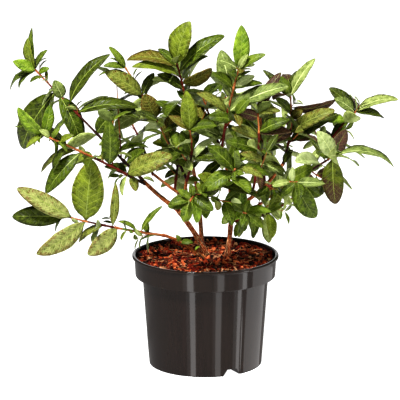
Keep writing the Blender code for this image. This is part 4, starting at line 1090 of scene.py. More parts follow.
# Each strip: the azimuths of its band on the pot, and its glow seen in the body and in the lip
LIGHT_STRIPS = {
    "strip_left": (-15.0, -9.8, 8.5, 21.0),
    "strip_middle": (9.8, 15.4, 5.6, 8.0),
    "strip_right": (31.8, 36.0, 9.0, 30.0),
    "strip_side": (42.0, 72.0, 4.4, 4.8),
    "soft_left": (-18.5, -15.0, 1.9, 2.4),
    "soft_middle": (7.2, 9.8, 1.7, 2.0),
    "soft_right": (28.0, 31.8, 2.4, 3.0),
}
STRIP_LIFT = 0.3
STRIP_FOOT = 1.0
STRIP_STEPS = 9
FLOOR_TONES = (srgb(148, 148, 148), srgb(152, 152, 152))
FLOOR_ROUGHNESS = 0.9
FLOOR_BLOTCH = 0.4


def glow_finish(name, strength):
    """A matt pale finish that glows."""
    finish, tree, shader = new_finish(name, FLOOR_ROUGHNESS)
    tone = colour_blend(tree, mottle(tree, FLOOR_BLOTCH), *FLOOR_TONES)
    feed(tree, shader.inputs["Base Color"], tone)
    shader.inputs["Emission Color"].default_value = WHITE
    shader.inputs["Emission Strength"].default_value = strength
    return finish


def add_floor():
    corners = np.array([(-1, -1, 0), (1, -1, 0), (1, 1, 0), (-1, 1, 0)]) * FLOOR_SIZE / MM / 2
    finish = glow_finish("pale_floor", FLOOR_GLOW)
    new_piece("floor", corners, [np.array([[0, 1, 2, 3]])], [finish], smooth=False)


def mirrored(azimuth, radius, height, taper):
    """Where the camera's view of a point on a wall, mirrored there, meets the floor. taper is how
    far the wall's normal leans down, and all angles are in radians."""
    out = np.array([math.sin(azimuth), -math.cos(azimuth), 0.0])
    normal = out * math.cos(taper) - UP * math.sin(taper)
    ray = SIGHT - 2 * (SIGHT @ normal) * normal
    return out * radius + UP * height + ray * (height - STRIP_LIFT) / -ray[2]


def add_strip(name, first, last, body_glow, lip_glow):
    """Two patches of floor, one that the body mirrors and one that the lip mirrors."""
    shelf = POT_HEIGHT - LIP_HEIGHT
    body_taper = math.atan((BODY_TOP_RADIUS - BASE_RADIUS) / shelf)
    lip_taper = math.atan((LIP_TOP_RADIUS - LIP_FOOT_RADIUS) / LIP_HEIGHT)
    bead = POT_HEIGHT - RIM_BEAD
    parts = {
        "body": ((BASE_RADIUS, STRIP_FOOT), (BODY_TOP_RADIUS, shelf), body_taper, body_glow),
        "lip": ((LIP_FOOT_RADIUS, shelf), (LIP_TOP_RADIUS, bead), lip_taper, lip_glow),
    }
    for part, (low, high, taper, glow) in parts.items():
        angles = np.radians(np.linspace(first, last, STRIP_STEPS))
        points = [mirrored(angle, *end, taper) for end in (low, high) for angle in angles]
        patch, finish = name + "_" + part, glow_finish(name + "_" + part, glow)
        faces = [open_grid(2, STRIP_STEPS)]
        new_piece(patch, np.array(points), faces, [finish], smooth=False)


add_floor()
for name, values in LIGHT_STRIPS.items():
    add_strip(name, *values)

# %% Panels and surrounding light
# Each panel: degrees right of the camera, distance, width, height, level of its middle, watts
PANELS = {
    "panel_left": (-62.0, 1.6, 0.5, 1.0, 1.0, 1.5),
    "panel_right": (66.0, 1.6, 0.5, 1.0, 1.0, 15.0),
    "panel_back": (180.0, 3.0, 1.4, 0.3, 0.8, 8.0),
}
PANEL_TARGET = (0.0, 0.0, 0.25)
# The light above: its width, its place, its aim and its watts
TOP_LIGHT = ((0.3, 0.3), (-0.45, -0.75, 1.5), (0.0, 0.0, 0.2), 58.0)
# Strength of the surrounding light and the heights of its direction between which it falls
WALL_STRENGTH = 1.1
CEILING_STRENGTH = 0.1
WALL_FOOT = 0.1
WALL_TOP = 0.42


def add_light(name, shape, size, place, target, watts):
    """A soft light of one shape, aimed at a target and hidden from the camera."""
    light = bpy.data.lights.new(name, "AREA")
    light.shape = shape
    light.size, light.size_y = size
    light.energy = watts
    made = bpy.data.objects.new(name, light)
    bpy.context.scene.collection.objects.link(made)
    made.location = place
    made.rotation_euler = (Vector(target) - Vector(place)).to_track_quat("-Z", "Y").to_euler()
    made.visible_camera = False
    print(name, watts, "W")


def add_panel(name, azimuth, distance, width, height, middle, watts):
    angle = math.radians(azimuth)
    place = (distance * math.sin(angle), -distance * math.cos(angle), middle)
    add_light(name, "RECTANGLE", (width, height), place, PANEL_TARGET, watts)


def light_world():
    """Pale walls all round and a darker ceiling: the strength falls with a direction's height."""
    world = bpy.data.worlds.new("studio")
    world.use_nodes = True
    tree = world.node_tree
    direction = node(tree, "ShaderNodeTexCoord").outputs["Generated"]
    height = node(tree, "ShaderNodeSeparateXYZ", {0: direction}).outputs["Z"]
    strength = ramp(tree, height, WALL_FOOT, WALL_TOP, WALL_STRENGTH, CEILING_STRENGTH)
    background = tree.nodes["Background"]
    background.inputs["Color"].default_value = WHITE
    feed(tree, background.inputs["Strength"], strength)
    bpy.context.scene.world = world


for name, values in PANELS.items():
    add_panel(name, *values)
add_light("panel_top", "DISK", *TOP_LIGHT)
light_world()
bpy.context.scene.view_settings.view_transform = "Standard"
bpy.context.scene.view_settings.look = "Medium High Contrast"

# %% [markdown]
# ## The pot
# The pot is a profile turned round its axis. Short arcs round its rim bead, lip and foot, because
# it is those that catch the light. The three drain notches are then cut out of the foot by a
# Boolean, the same way a mould's insert would leave them open. The solid pot has 40 flat sides;
# here 192 make the outline round. Polypropylene shines under a thin even skin, so the gloss is a
# clear coat and the plastic below it is matt.

# %% Finish of the pot
# The gloss is a clear coat of a high index and a low weight, which mirrors about as much at the
# sides as in front
GLOSS_WEIGHT = 0.16
GLOSS_ROUGHNESS = 0.09
GLOSS_IOR = 1.8
PLASTIC_ROUGHNESS = 0.4
PLASTIC_BLOTCH = 0.06
DARK_PLASTIC = (srgb(9, 4, 3), srgb(17, 12, 6))
DRAWN_PLASTIC = srgb(27, 18, 15)
PLASTIC_SPREAD = 2.5
# The draw lines: how close they stand along each axis, their detail, and the strength and depth of
# their relief
DRAW_LINES = (220.0, 220.0, 5.0)
DRAW_DETAIL = 3.0
DRAW_RELIEF = (0.05, 0.0003)


def pot_finish():
    """Dark glossy polypropylene. Fine draw lines run up the wall, so its tone and a very slight
    relief come from a noise that is stretched along the Z axis."""
    finish, tree, shader = new_finish("black_plastic", PLASTIC_ROUGHNESS, GLOSS_WEIGHT, 0.0)
    shader.inputs["Coat Roughness"].default_value = GLOSS_ROUGHNESS
    shader.inputs["Coat IOR"].default_value = GLOSS_IOR
    inputs = {"Vector": on_object(tree), "Scale": DRAW_LINES}
    place = node(tree, "ShaderNodeMapping", inputs).outputs["Vector"]
    lines = noise(tree, place, 1.0, DRAW_DETAIL)
    tone = colour_blend(tree, mottle(tree, PLASTIC_BLOTCH, PLASTIC_SPREAD), *DARK_PLASTIC)
    feed(tree, shader.inputs["Base Color"], colour_blend(tree, lines, tone, DRAWN_PLASTIC))
    raise_surface(tree, shader, lines, *DRAW_RELIEF)
    return finish


POT_FINISH = pot_finish()

# %% Turned surfaces
ROUND_SIDES = 192
ARC_STEPS = 5


def rounded(profile, radius):
    """A profile with each inner corner replaced by a quadratic arc that starts and ends at radius
    from it, or at a third of a shorter side."""
    corners = np.asarray(profile, float)
    points = [corners[:1]]
    share = np.linspace(0, 1, ARC_STEPS)
    for before, corner, after in zip(corners, corners[1:], corners[2:]):
        back, ahead = before - corner, after - corner
        reach = min(radius, np.linalg.norm(back) / 3, np.linalg.norm(ahead) / 3)
        start, end = corner + unit(back) * reach, corner + unit(ahead) * reach
        points.append(quadratic(start, corner, end, share))
    return np.vstack([*points, corners[-1:]])


def turned_points(profile, sides):
    """Points of a profile turned round the Z axis: radius times sine and cosine of each angle."""
    angles = 2 * np.pi * np.arange(sides) / sides
    radius, height = profile[:, :1], profile[:, 1:]
    points = [radius * np.sin(angles), -radius * np.cos(angles), height + 0 * angles]
    return np.stack(points, axis=-1).reshape(-1, 3)


def turned_piece(name, profile, finishes, sides=ROUND_SIDES):
    """A closed body turned about the Z axis. Both ends of the profile are on the axis, where a fan
    of triangles closes the body."""
    points = turned_points(profile[1:-1], sides)
    ends = [(0.0, 0.0, profile[0][1]), (0.0, 0.0, profile[-1][1])]
    rows = len(profile) - 2
    faces = [wrapped_grid(rows, sides), end_fans(rows, sides)]
    return new_piece(name, np.vstack([points, ends]), faces, finishes)

# %% Profile of the pot


def body_radius(height):
    """Outer radius of the pot's body, below the lip."""
    return BASE_RADIUS + (BODY_TOP_RADIUS - BASE_RADIUS) * height / (POT_HEIGHT - LIP_HEIGHT)


def pot_profile():
    """The pot's section from the middle of its underside, up the outside and down the inside."""
    shelf = POT_HEIGHT - LIP_HEIGHT
    bead = POT_HEIGHT - RIM_BEAD
    return [
        (0.0, 0.0),
        (BASE_RADIUS, 0.0),
        (body_radius(shelf), shelf),
        (LIP_FOOT_RADIUS, shelf),
        (LIP_TOP_RADIUS, bead - RIM_ROUND),
        (RIM_RADIUS, bead),
        (RIM_RADIUS, POT_HEIGHT),
        (LIP_TOP_RADIUS - WALL, POT_HEIGHT),
        (LIP_FOOT_RADIUS - WALL, shelf + WALL),
        (body_radius(shelf) - WALL, shelf + WALL),
        (body_radius(0.0) - WALL, BASE_PLATE),
        (0.0, BASE_PLATE),
    ]

# %% Pot with its notches


def notch_wedges(name, near, far, low, high):
    """A cutter with one wedge at each notch, from near to far along the radius. low and high are
    the height and the width of its lower and of its upper edge."""
    aside = np.array([-low[1], low[1], high[1], -high[1]]) / 2
    height = np.array([low[0], low[0], high[0], high[0]])
    angles = np.radians(NOTCH_FIRST_AZIMUTH + 360.0 * np.arange(NOTCH_COUNT) / NOTCH_COUNT)
    out = np.stack([np.sin(angles), -np.cos(angles), 0 * angles], axis=-1)[:, None, None]
    beside = np.stack([np.cos(angles), np.sin(angles), 0 * angles], axis=-1)[:, None, None]
    distance = np.array([near, far])[None, :, None, None]
    points = out * distance + beside * aside[:, None] + UP * height[:, None]
    round_it = [(5, 4, 0, 1), (6, 5, 1, 2), (7, 6, 2, 3), (4, 7, 3, 0)]
    sides = np.array([(3, 2, 1, 0), (4, 5, 6, 7), *round_it])
    faces = (8 * np.arange(NOTCH_COUNT)[:, None, None] + sides[None]).reshape(-1, 4)
    return new_piece(name, points.reshape(-1, 3), [faces], [POT_FINISH], smooth=False)


def notch_width(height):
    """Width of a notch's outline at a height."""
    return NOTCH_FOOT_WIDTH + (NOTCH_TOP_WIDTH - NOTCH_FOOT_WIDTH) * height / NOTCH_HEIGHT


def combine(target, other, operation):
    """Joins or cuts by a Boolean, applies it and removes the other piece."""
    boolean = target.modifiers.new(other.name, "BOOLEAN")
    boolean.operation = operation
    boolean.object = other
    shown = target.evaluated_get(bpy.context.evaluated_depsgraph_get())
    made = bpy.data.meshes.new_from_object(shown)
    target.modifiers.remove(boolean)
    target.data = made
    bpy.data.objects.remove(other)


def make_pot():
    pot = turned_piece("nursery_pot", rounded(pot_profile(), EDGE_ROUND), [POT_FINISH])
    inner = BASE_RADIUS - NOTCH_DEPTH
    heights = (BASE_PLATE - JOIN, NOTCH_HEIGHT + WALL)
    low, high = [(at, notch_width(at) + 2 * WALL) for at in heights]
    housing = notch_wedges("housing", inner - WALL, BASE_RADIUS - WALL / 2, low, high)
    combine(pot, housing, "UNION")
    low, high = (-CUT_PAST, notch_width(-CUT_PAST)), (NOTCH_HEIGHT, NOTCH_TOP_WIDTH)
    combine(pot, notch_wedges("pocket", inner, BASE_RADIUS + CUT_PAST, low, high), "DIFFERENCE")
    pot.data.shade_smooth()
    pot.data.set_sharp_from_angle(angle=math.radians(SHARP_ANGLE))
    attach(pot, "root")
    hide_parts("pot")
    return pot


pot = make_pot()
print("pot faces", len(pot.data.polygons))

# %% [markdown]
# ## Compost and bark chips
# The pot is filled with dark compost under a loose layer of shredded pine bark: flat angular chips
# 4 to 16 mm long, most of them short, rusty red to tan, with dark gaps between them and pale fibres
# across them. Each chip is three jittered seven-sided rings, flat like a flake of bark. They could
# be dropped by a simulation, but a scatter over the mound with random turns gives the same heap
# each time. Each chip is dealt one of six finishes.

# %% Finish of the mulch
# Size of the blotches in metres, and the spread and the strength of the relief
CRUMBS = 0.003
FIBRE_BLOTCH = 0.004
CRUMB_SPREAD = 1.5
CRUMB_STRENGTH = 0.5
MULCH_ROUGHNESS = 0.85


def rough_finish(name, low, high, size=CRUMBS):
    """A matt finish with two tones in blotches, and a relief that is three times finer."""
    finish, tree, shader = new_finish(name, MULCH_ROUGHNESS)
    tone = colour_blend(tree, mottle(tree, size), srgb(*low), srgb(*high))
    feed(tree, shader.inputs["Base Color"], tone)
    relief = mottle(tree, size / 3, CRUMB_SPREAD)
    raise_surface(tree, shader, relief, CRUMB_STRENGTH, size / 4)
    return finish


COMPOST_FINISH = rough_finish("compost", (10, 4, 2), (26, 12, 6))
FIBRE_FINISH = rough_finish("bark_fibre", (139, 88, 51), (178, 133, 94), FIBRE_BLOTCH)
# Each finish of the chips: its two tones, and the share of the chips that have it
CHIP_LOOKS = {
    "bark_rust": ((76, 12, 2), (134, 46, 14), 0.19),
    "bark_red_brown": ((52, 2, 0), (92, 18, 3), 0.18),
    "bark_brown": ((30, 6, 2), (88, 42, 22), 0.2),
    "bark_dark": ((7, 1, 1), (28, 6, 2), 0.24),
    "bark_tan": ((118, 70, 42), (178, 132, 96), 0.07),
    "bark_orange": ((136, 52, 22), (184, 100, 58), 0.12),
}
CHIP_FINISHES = [rough_finish(name, low, high) for name, (low, high, _) in CHIP_LOOKS.items()]
CHIP_SHARES = [share for _, _, share in CHIP_LOOKS.values()]
print("finishes of the chips", len(CHIP_FINISHES))

# %% Compost
MOUND_LEVEL = 126.4
MOUND_EDGE = 124.4
MOUND_ROWS = 30
MOUND_SIDES = 96
WALL_GAP = 1.0
LIP_WALL_FOOT = 1.5


def mound_height(radius):
    """Height of the compost: a smooth fall from the middle to the wall."""
    share = np.clip(radius / (LIP_TOP_RADIUS - WALL), 0, 1)
    return MOUND_LEVEL - (MOUND_LEVEL - MOUND_EDGE) * share**2


def make_compost():
    shelf = POT_HEIGHT - LIP_HEIGHT + WALL
    edge = LIP_TOP_RADIUS - WALL - CLEAR * 2
    floor = BASE_PLATE + NOTCH_HEIGHT + CLEAR
    radii = np.linspace(edge, 0.0, MOUND_ROWS)
    top = np.stack([radii, mound_height(radii)], axis=-1)
    inside = WALL + WALL_GAP
    wall = [
        (0.0, floor),
        (body_radius(floor) - inside, floor),
        (body_radius(shelf) - inside, shelf + WALL_GAP),
        (LIP_FOOT_RADIUS - inside, shelf + LIP_WALL_FOOT),
    ]
    compost = turned_piece("compost", np.vstack([wall, top]), [COMPOST_FINISH], MOUND_SIDES)
    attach(compost, "root")
    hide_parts("bark_mulch")


make_compost()

# %% Repeated tubes, turns and scatter


def repeated_tubes(count, steps, sides):
    """Walls and caps of many tubes of one grid, one after the other."""
    offset = steps * sides * np.arange(count)[:, None, None]
    groups = closed_tube_faces(steps, sides)
    return [(faces + offset).reshape(-1, faces.shape[-1]) for faces in groups]


def turns(yaw, pitch, roll):
    """Rotation matrices, one for each set of three angles: yaw after pitch after roll."""
    zero, one = np.zeros_like(yaw), np.ones_like(yaw)
    cy, sy, cp, sp, cr, sr = (f(a) for a in (yaw, pitch, roll) for f in (np.cos, np.sin))
    spin = np.stack([cy, -sy, zero, sy, cy, zero, zero, zero, one], -1).reshape(-1, 3, 3)
    nod = np.stack([cp, zero, sp, zero, one, zero, -sp, zero, cp], -1).reshape(-1, 3, 3)
    lean = np.stack([one, zero, zero, zero, cr, -sr, zero, sr, cr], -1).reshape(-1, 3, 3)
    return spin @ nod @ lean


def scattered(rng, count, reach):
    """Even random places on a disc: the radius is the root of an even number."""
    radius = reach * np.sqrt(rng.uniform(0, 1, count))
    angle = rng.uniform(0, 2 * np.pi, count)
    return np.stack([radius * np.sin(angle), -radius * np.cos(angle)], -1), radius

# %% Bark chips
# Lengths in millimetres. Width and depth are shares of the length, and few chips are large
CHIP_SEED = 5
CHIP_COUNT = 2100
CHIP_CORNERS = 7
CHIP_LENGTH = (4.0, 16.0)
CHIP_FEW_LARGE = 1.5
CHIP_SLIMNESS = (0.24, 0.62)
CHIP_FLATNESS = (0.14, 0.34)
CHIP_DEPTHS = (0.5, 2.4)
CHIP_TILT = 0.5
CHIP_TOP = 128.8
CHIP_MARGIN = 4.0

# A chip's corners: sizes of its three rings, and how far angle, radius, ring and height stray
CHIP_RINGS = (0.8, 1.0, 0.78)
CORNER_STRAY = 0.3
CORNER_REACH = (0.72, 1.05)
RING_STRAY = (0.9, 1.1)
LEVEL_STRAY = 0.35


def chip_points(rng, count):
    """Rings of corners round a flat flake, jittered, with the middle ring widest."""
    corners, each = (count, CHIP_CORNERS), (count, 3, CHIP_CORNERS)
    stray = rng.uniform(-CORNER_STRAY, CORNER_STRAY, corners)
    angle = 2 * np.pi * (np.arange(CHIP_CORNERS) + stray) / CHIP_CORNERS
    out = rng.uniform(*CORNER_REACH, corners)
    ring_size = np.array(CHIP_RINGS)[:, None] * rng.uniform(*RING_STRAY, each)
    across = (out * np.cos(angle))[:, None] * ring_size
    beside = (out * np.sin(angle))[:, None] * ring_size
    level = np.array([-1.0, 0.0, 1.0])[:, None] + rng.uniform(-LEVEL_STRAY, LEVEL_STRAY, each)
    return np.stack([across, beside, level], axis=-1)


def chip_sizes(rng):
    """Half the length, width and depth of each chip."""
    spread = rng.uniform(0, 1, CHIP_COUNT) ** CHIP_FEW_LARGE
    length = CHIP_LENGTH[0] + (CHIP_LENGTH[1] - CHIP_LENGTH[0]) * spread
    width = length * rng.uniform(*CHIP_SLIMNESS, CHIP_COUNT)
    depth = np.clip(length * rng.uniform(*CHIP_FLATNESS, CHIP_COUNT), *CHIP_DEPTHS)
    return np.stack([length, width, depth], -1)[:, None, None] / 2


def make_chips():
    """Chips turned and scattered on the mound, and pushed in where they would pass the wall."""
    rng = np.random.default_rng(CHIP_SEED)
    sizes = chip_sizes(rng)
    tilt = rng.normal(0, CHIP_TILT, (2, CHIP_COUNT))
    turn = turns(rng.uniform(0, 2 * np.pi, CHIP_COUNT), *tilt)
    place, radius = scattered(rng, CHIP_COUNT, LIP_TOP_RADIUS - WALL - CHIP_MARGIN)
    height = mound_height(radius) + rng.uniform(0.0, CHIP_TOP - MOUND_LEVEL, CHIP_COUNT)
    points = np.einsum("nij,nrcj->nrci", turn, chip_points(rng, CHIP_COUNT) * sizes)
    points = points + np.concatenate([place, height[:, None]], -1)[:, None, None]
    away = np.linalg.norm(points[..., :2], axis=-1, keepdims=True)
    points[..., :2] *= np.minimum(1.0, (LIP_TOP_RADIUS - WALL - WALL_GAP) / away)
    sides, caps = repeated_tubes(CHIP_COUNT, 3, CHIP_CORNERS)
    look = rng.choice(len(CHIP_FINISHES), CHIP_COUNT, p=CHIP_SHARES)
    which = np.concatenate([np.repeat(look, 2 * CHIP_CORNERS), np.repeat(look, 2)])
    points, faces = points.reshape(-1, 3), [sides, caps]
    chips = new_piece("bark_chips", points, faces, CHIP_FINISHES, which, smooth=False)
    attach(chips, "root")


make_chips()

# %% Bark fibres
# Sizes in millimetres; rise and bow are shares of the length
FIBRE_SEED = 9
FIBRE_COUNT = 150
FIBRE_STEPS = 7
FIBRE_SIDES = 3
FIBRE_MARGIN = 12.0
FIBRE_LIFT = (2.0, 3.6)
FIBRE_RISE = (-0.1, 0.14)
FIBRE_LENGTH = (8, 26)
FIBRE_BOW = 0.3
FIBRE_THICK = (0.25, 0.55)
FIBRE_MIDDLE = 1.2
FIBRE_TAPER = 1.6


def fibre_paths(rng):
    """Middle lines of the fibres: lines bent aside by a parabola that is zero at their ends."""
    place, radius = scattered(rng, FIBRE_COUNT, LIP_TOP_RADIUS - WALL - FIBRE_MARGIN)
    height = mound_height(radius)[:, None] + rng.uniform(*FIBRE_LIFT, (FIBRE_COUNT, 1))
    base = np.concatenate([place, height], -1)[:, None]
    yaw = rng.uniform(0, 2 * np.pi, FIBRE_COUNT)
    rise = rng.uniform(*FIBRE_RISE, FIBRE_COUNT)
    ahead = np.stack([np.cos(yaw), np.sin(yaw), rise], -1)[:, None]
    aside = np.stack([-np.sin(yaw), np.cos(yaw), 0 * yaw], -1)[:, None]
    length = rng.uniform(*FIBRE_LENGTH, FIBRE_COUNT)[:, None, None]
    bow = rng.uniform(-FIBRE_BOW, FIBRE_BOW, FIBRE_COUNT)[:, None, None]
    share = np.linspace(-0.5, 0.5, FIBRE_STEPS)[:, None]
    return base + length * (ahead * share + aside * bow * (0.25 - share**2) * 4), aside, share


def make_fibres():
    """Thin curved slivers on the chips: three corners round each point of a middle line."""
    rng = np.random.default_rng(FIBRE_SEED)
    middle, aside, share = fibre_paths(rng)
    corner = 2 * np.pi * np.arange(FIBRE_SIDES) / FIBRE_SIDES
    taper = (FIBRE_MIDDLE - FIBRE_TAPER * np.abs(share))[..., None]
    thick = rng.uniform(*FIBRE_THICK, FIBRE_COUNT)[:, None, None, None] * taper
    spokes = np.cos(corner)[:, None] * aside[:, None] + np.sin(corner)[:, None] * UP
    points = (middle[:, :, None] + thick * spokes).reshape(-1, 3)
    faces = [*repeated_tubes(FIBRE_COUNT, FIBRE_STEPS, FIBRE_SIDES)]
    fibres = new_piece("bark_fibres", points, faces, [FIBRE_FINISH])
    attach(fibres, "root")


make_fibres()

# %% [markdown]
# ## Bark
# Honeyberry stems are rusty brown under a papery outer bark that splits and peels in long tan
# strips. Each limb is a ring of points carried along its curve. The ring's radius is the taper
# times one plus a relief, a sum of waves round the limb that drift slowly along it, which gives
# fibrous ridges. Fine limbs start a little inside what carries them, which closes the gap between
# the solids.

# %% Finish of the bark
# Each streak effect: its counts across and along, and where its mask begins and ends
BANDS = (4.0, 0.6)
BAND_EDGES = (0.42, 0.58)
STRIPS = (34.0, 2.2)
STRIP_EDGES = (0.64, 0.72)
PEELED = srgb(214, 162, 112)
BARK_ROUGHNESS = 0.6
BARK_RELIEF = (0.6, 0.0006)
# Each bark: its two tones, and how much more of it has peeled
BARKS = {
    "old_bark": ((20, 3, 1), (136, 48, 12), 0.1),
    "bough_bark": ((30, 10, 3), (158, 76, 22), 0.07),
    "dark_shoot_bark": ((23, 10, 6), (50, 22, 13), -0.14),
    "red_shoot_bark": ((57, 15, 11), (98, 33, 19), -0.1),
    "orange_shoot_bark": ((112, 52, 22), (160, 96, 52), 0.03),
    "tip_bark": ((123, 70, 33), (140, 101, 50), -0.2),
}


def bark_finish(name, low, high, peeled):
    """Bark in two tones, with streaks that run along the limb."""
    finish, tree, shader = new_finish(name, BARK_ROUGHNESS)
    bands = ramp(tree, streaks(tree, *BANDS), *BAND_EDGES, kind="LINEAR")
    fibres = streaks(tree, *STRIPS)
    strips = ramp(tree, fibres, *(edge - peeled for edge in STRIP_EDGES), kind="LINEAR")
    tone = colour_blend(tree, bands, srgb(*low), srgb(*high))
    feed(tree, shader.inputs["Base Color"], colour_blend(tree, strips, tone, PEELED))
    raise_surface(tree, shader, fibres, *BARK_RELIEF)
    return finish


OLD_BARK, BOUGH_BARK, *SHOOT_FINISHES = [bark_finish(name, *look) for name, look in BARKS.items()]
print("barks", len(BARKS))

# %% Fine limbs
FINE_LIMB_STEPS = 40
FINE_LIMB_SIDES = 18
RELIEF_WAVES = 9
RELIEF_COUNTS = (2, 9)
RELIEF_DRIFT = 9.0
RELIEF = 0.05
SWELLS = (18, 30)
SWELL = 0.05
SWELL_STARTS = (0, 6)
SUNK = 2.5
CENTIMETRE = 10.0


def smooth_path(path, steps):
    """A finer path through the points of a path: the sum of its points weighted by cubic pieces
    that meet with one direction."""
    ends = np.vstack([2 * path[0] - path[1], path, 2 * path[-1] - path[-2]])
    place = np.linspace(0, len(path) - 1, steps)
    low = np.minimum(place.astype(int), len(path) - 2)
    t = (place - low)[:, None]
    a, b, c, d = (ends[low + i] for i in range(4))
    second, third = 2 * a - 5 * b + 4 * c - d, 3 * b - a - 3 * c + d
    return 0.5 * (2 * b + (c - a) * t + second * t**2 + third * t**3)


def carried_rings(path, radii, sides, relief=0.0):
    """Rings square to a path. One fixed direction, made square to each tangent, keeps them from
    twisting. relief is a share added to the radius at each point of the grid."""
    tangents = np.gradient(path, axis=0)
    tangents = tangents / np.linalg.norm(tangents, axis=1, keepdims=True)
    fixed = sideways(tangents.mean(axis=0))
    side = fixed - tangents * (tangents @ fixed)[:, None]
    side = side / np.linalg.norm(side, axis=1, keepdims=True)
    across = np.cross(tangents, side)
    angle = 2 * np.pi * np.arange(sides) / sides
    size = radii[:, None] * (1 + np.zeros(sides) + relief)
    cosine, sine = np.cos(angle)[:, None], np.sin(angle)[:, None]
    return path[:, None] + size[..., None] * (cosine * side[:, None] + sine * across[:, None])


def ridges(rng, steps, sides):
    """Relief of bark: waves round the limb, each with its own count, phase and drift along it."""
    count = rng.integers(*RELIEF_COUNTS, RELIEF_WAVES)[:, None, None]
    phase = rng.uniform(0, 2 * np.pi, RELIEF_WAVES)[:, None, None]
    drift = rng.uniform(-RELIEF_DRIFT, RELIEF_DRIFT, RELIEF_WAVES)[:, None, None]
    along = np.linspace(0, 1, steps)[None, :, None]
    angle = (2 * np.pi * np.arange(sides) / sides)[None, None]
    relief = np.sin(count * angle + phase + drift * along).mean(axis=0)
    return relief * RELIEF * RELIEF_WAVES**0.5


def sunk_back(path, depth):
    """A path that starts depth further back, so that it begins inside what carries it."""
    first = path[0] - unit(path[1] - path[0]) * depth
    return np.vstack([first, path[1:]])


def tube_surface(steps, sides, length):
    """Surface coordinates of a tube: round it from 0 to 1, and its length in centimetres."""
    along = np.linspace(0, length / CENTIMETRE, steps)
    angle, along = np.meshgrid(np.arange(sides) / sides, along)
    folded = np.abs(angle - 0.5) * 2
    return np.stack([folded, along], axis=-1).reshape(-1, 2)


def make_limb(name, path, radii, seed):
    rng = np.random.default_rng(seed)
    fine = smooth_path(sunk_back(path, SUNK), FINE_LIMB_STEPS)
    share = np.linspace(0, 1, FINE_LIMB_STEPS)
    size = np.interp(share, np.linspace(0, 1, len(radii)), radii)
    wave = 1 + SWELL * np.sin(share * rng.uniform(*SWELLS) + rng.uniform(*SWELL_STARTS))
    relief = ridges(rng, FINE_LIMB_STEPS, FINE_LIMB_SIDES)
    rings = carried_rings(fine, size * wave, FINE_LIMB_SIDES, relief)
    length = np.linalg.norm(np.diff(fine, axis=0), axis=1).sum()
    surface = tube_surface(FINE_LIMB_STEPS, FINE_LIMB_SIDES, length)
    wall, ends = closed_tube_faces(FINE_LIMB_STEPS, FINE_LIMB_SIDES)
    finish = OLD_BARK if name.startswith("stem") else BOUGH_BARK
    limb = new_piece("fine_" + name, rings.reshape(-1, 3), [wall, ends], [finish], surface=surface)
    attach(limb, "root")
    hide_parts(name)


for seed, (name, (path, radii)) in enumerate(limbs.items()):
    make_limb(name, path, radii, seed)

# %% [markdown]
# ## Shoots
# A leading shoot is the young wood of a mass of foliage. It swells a little at each pair of leaves,
# is rusty where it is older and green where it still grows, so its finish changes along its length.

# %% Shoots
FINE_SHOOT_STEPS = 60
FINE_SHOOT_SIDES = 9
NODE_SWELL = 0.4
NODE_WIDTH = 0.012
ROOT_REACH = 1.5


def shoot_radii(first, last, share, nodes):
    """A straight taper that swells at each node by a bell curve."""
    bells = np.exp(-(((share[:, None] - np.asarray(nodes)[None]) / NODE_WIDTH) ** 2)).sum(axis=1)
    return (first + (last - first) * share) * (1 + NODE_SWELL * np.minimum(bells, 1.0))


def nearest_shares(path, roots):
    """How far along a path each root stands."""
    gaps = np.linalg.norm(path[None] - np.asarray(roots).reshape(-1, 1, 3), axis=-1)
    return gaps.argmin(axis=1) / (len(path) - 1)


def shoot_piece(name, rows):
    """Every shoot in one mesh: tubes of one size of grid, stacked. A row is a path, its first and
    last radius, the roots of its leaves, and which finish each share of its length has."""
    points, surfaces, looks, ends_looks = [], [], [], []
    grid = (FINE_SHOOT_STEPS, FINE_SHOOT_SIDES)
    for path, first, last, roots, kinds in rows:
        fine = smooth_path(sunk_back(path, SUNK), FINE_SHOOT_STEPS)
        share = np.linspace(0, 1, FINE_SHOOT_STEPS)
        nodes = nearest_shares(fine, roots) if len(roots) else [0.5]
        rings = carried_rings(fine, shoot_radii(first, last, share, nodes), FINE_SHOOT_SIDES)
        length = np.linalg.norm(np.diff(fine, axis=0), axis=1).sum()
        points.append(rings.reshape(-1, 3))
        surfaces.append(tube_surface(*grid, length))
        along = np.repeat(share[:-1], FINE_SHOOT_SIDES)
        looks.append(np.array(kinds)[np.minimum((along * len(kinds)).astype(int), len(kinds) - 1)])
        ends_looks.append([kinds[0], kinds[-1]])
    which = np.concatenate([*looks, *ends_looks])
    faces = repeated_tubes(len(rows), *grid)
    made = new_piece(name, np.vstack(points), faces, SHOOT_FINISHES, which, np.vstack(surfaces))
    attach(made, "root")


def roots_near(mass, path):
    """Roots of the leaves that grow from a twig."""
    roots = np.array([leaf[0] for leaf in mass.leaves])
    gaps = smooth_path(path, FINE_SHOOT_STEPS)[None] - roots[:, None]
    return roots[np.linalg.norm(gaps, axis=-1).min(axis=1) < ROOT_REACH]


# Colours from foot to tip of the leading shoots that show clearly
DARK, RED, ORANGE, TIP = range(4)
SHOOT_COLOURS = {
    "foliage_upper_left": (DARK, DARK, DARK, DARK, RED, RED, ORANGE),
    "foliage_mid_left": (DARK, RED, RED, ORANGE, ORANGE, ORANGE),
    "foliage_low_left": (ORANGE, ORANGE, RED, ORANGE),
    "foliage_high_left": (DARK, DARK, DARK, RED, TIP),
    "foliage_top": (RED, DARK, RED, RED),
    "foliage_top_right": (RED, RED, ORANGE, ORANGE),
    "foliage_right_top": (DARK, RED, ORANGE, ORANGE),
    "foliage_far_right": (RED, DARK, RED, ORANGE),
    "foliage_far_right_top": (DARK, DARK, RED, ORANGE),
}
OTHER_SHOOT = (RED, DARK, RED, ORANGE)
SIDE_SHOOT = (RED, ORANGE, TIP)

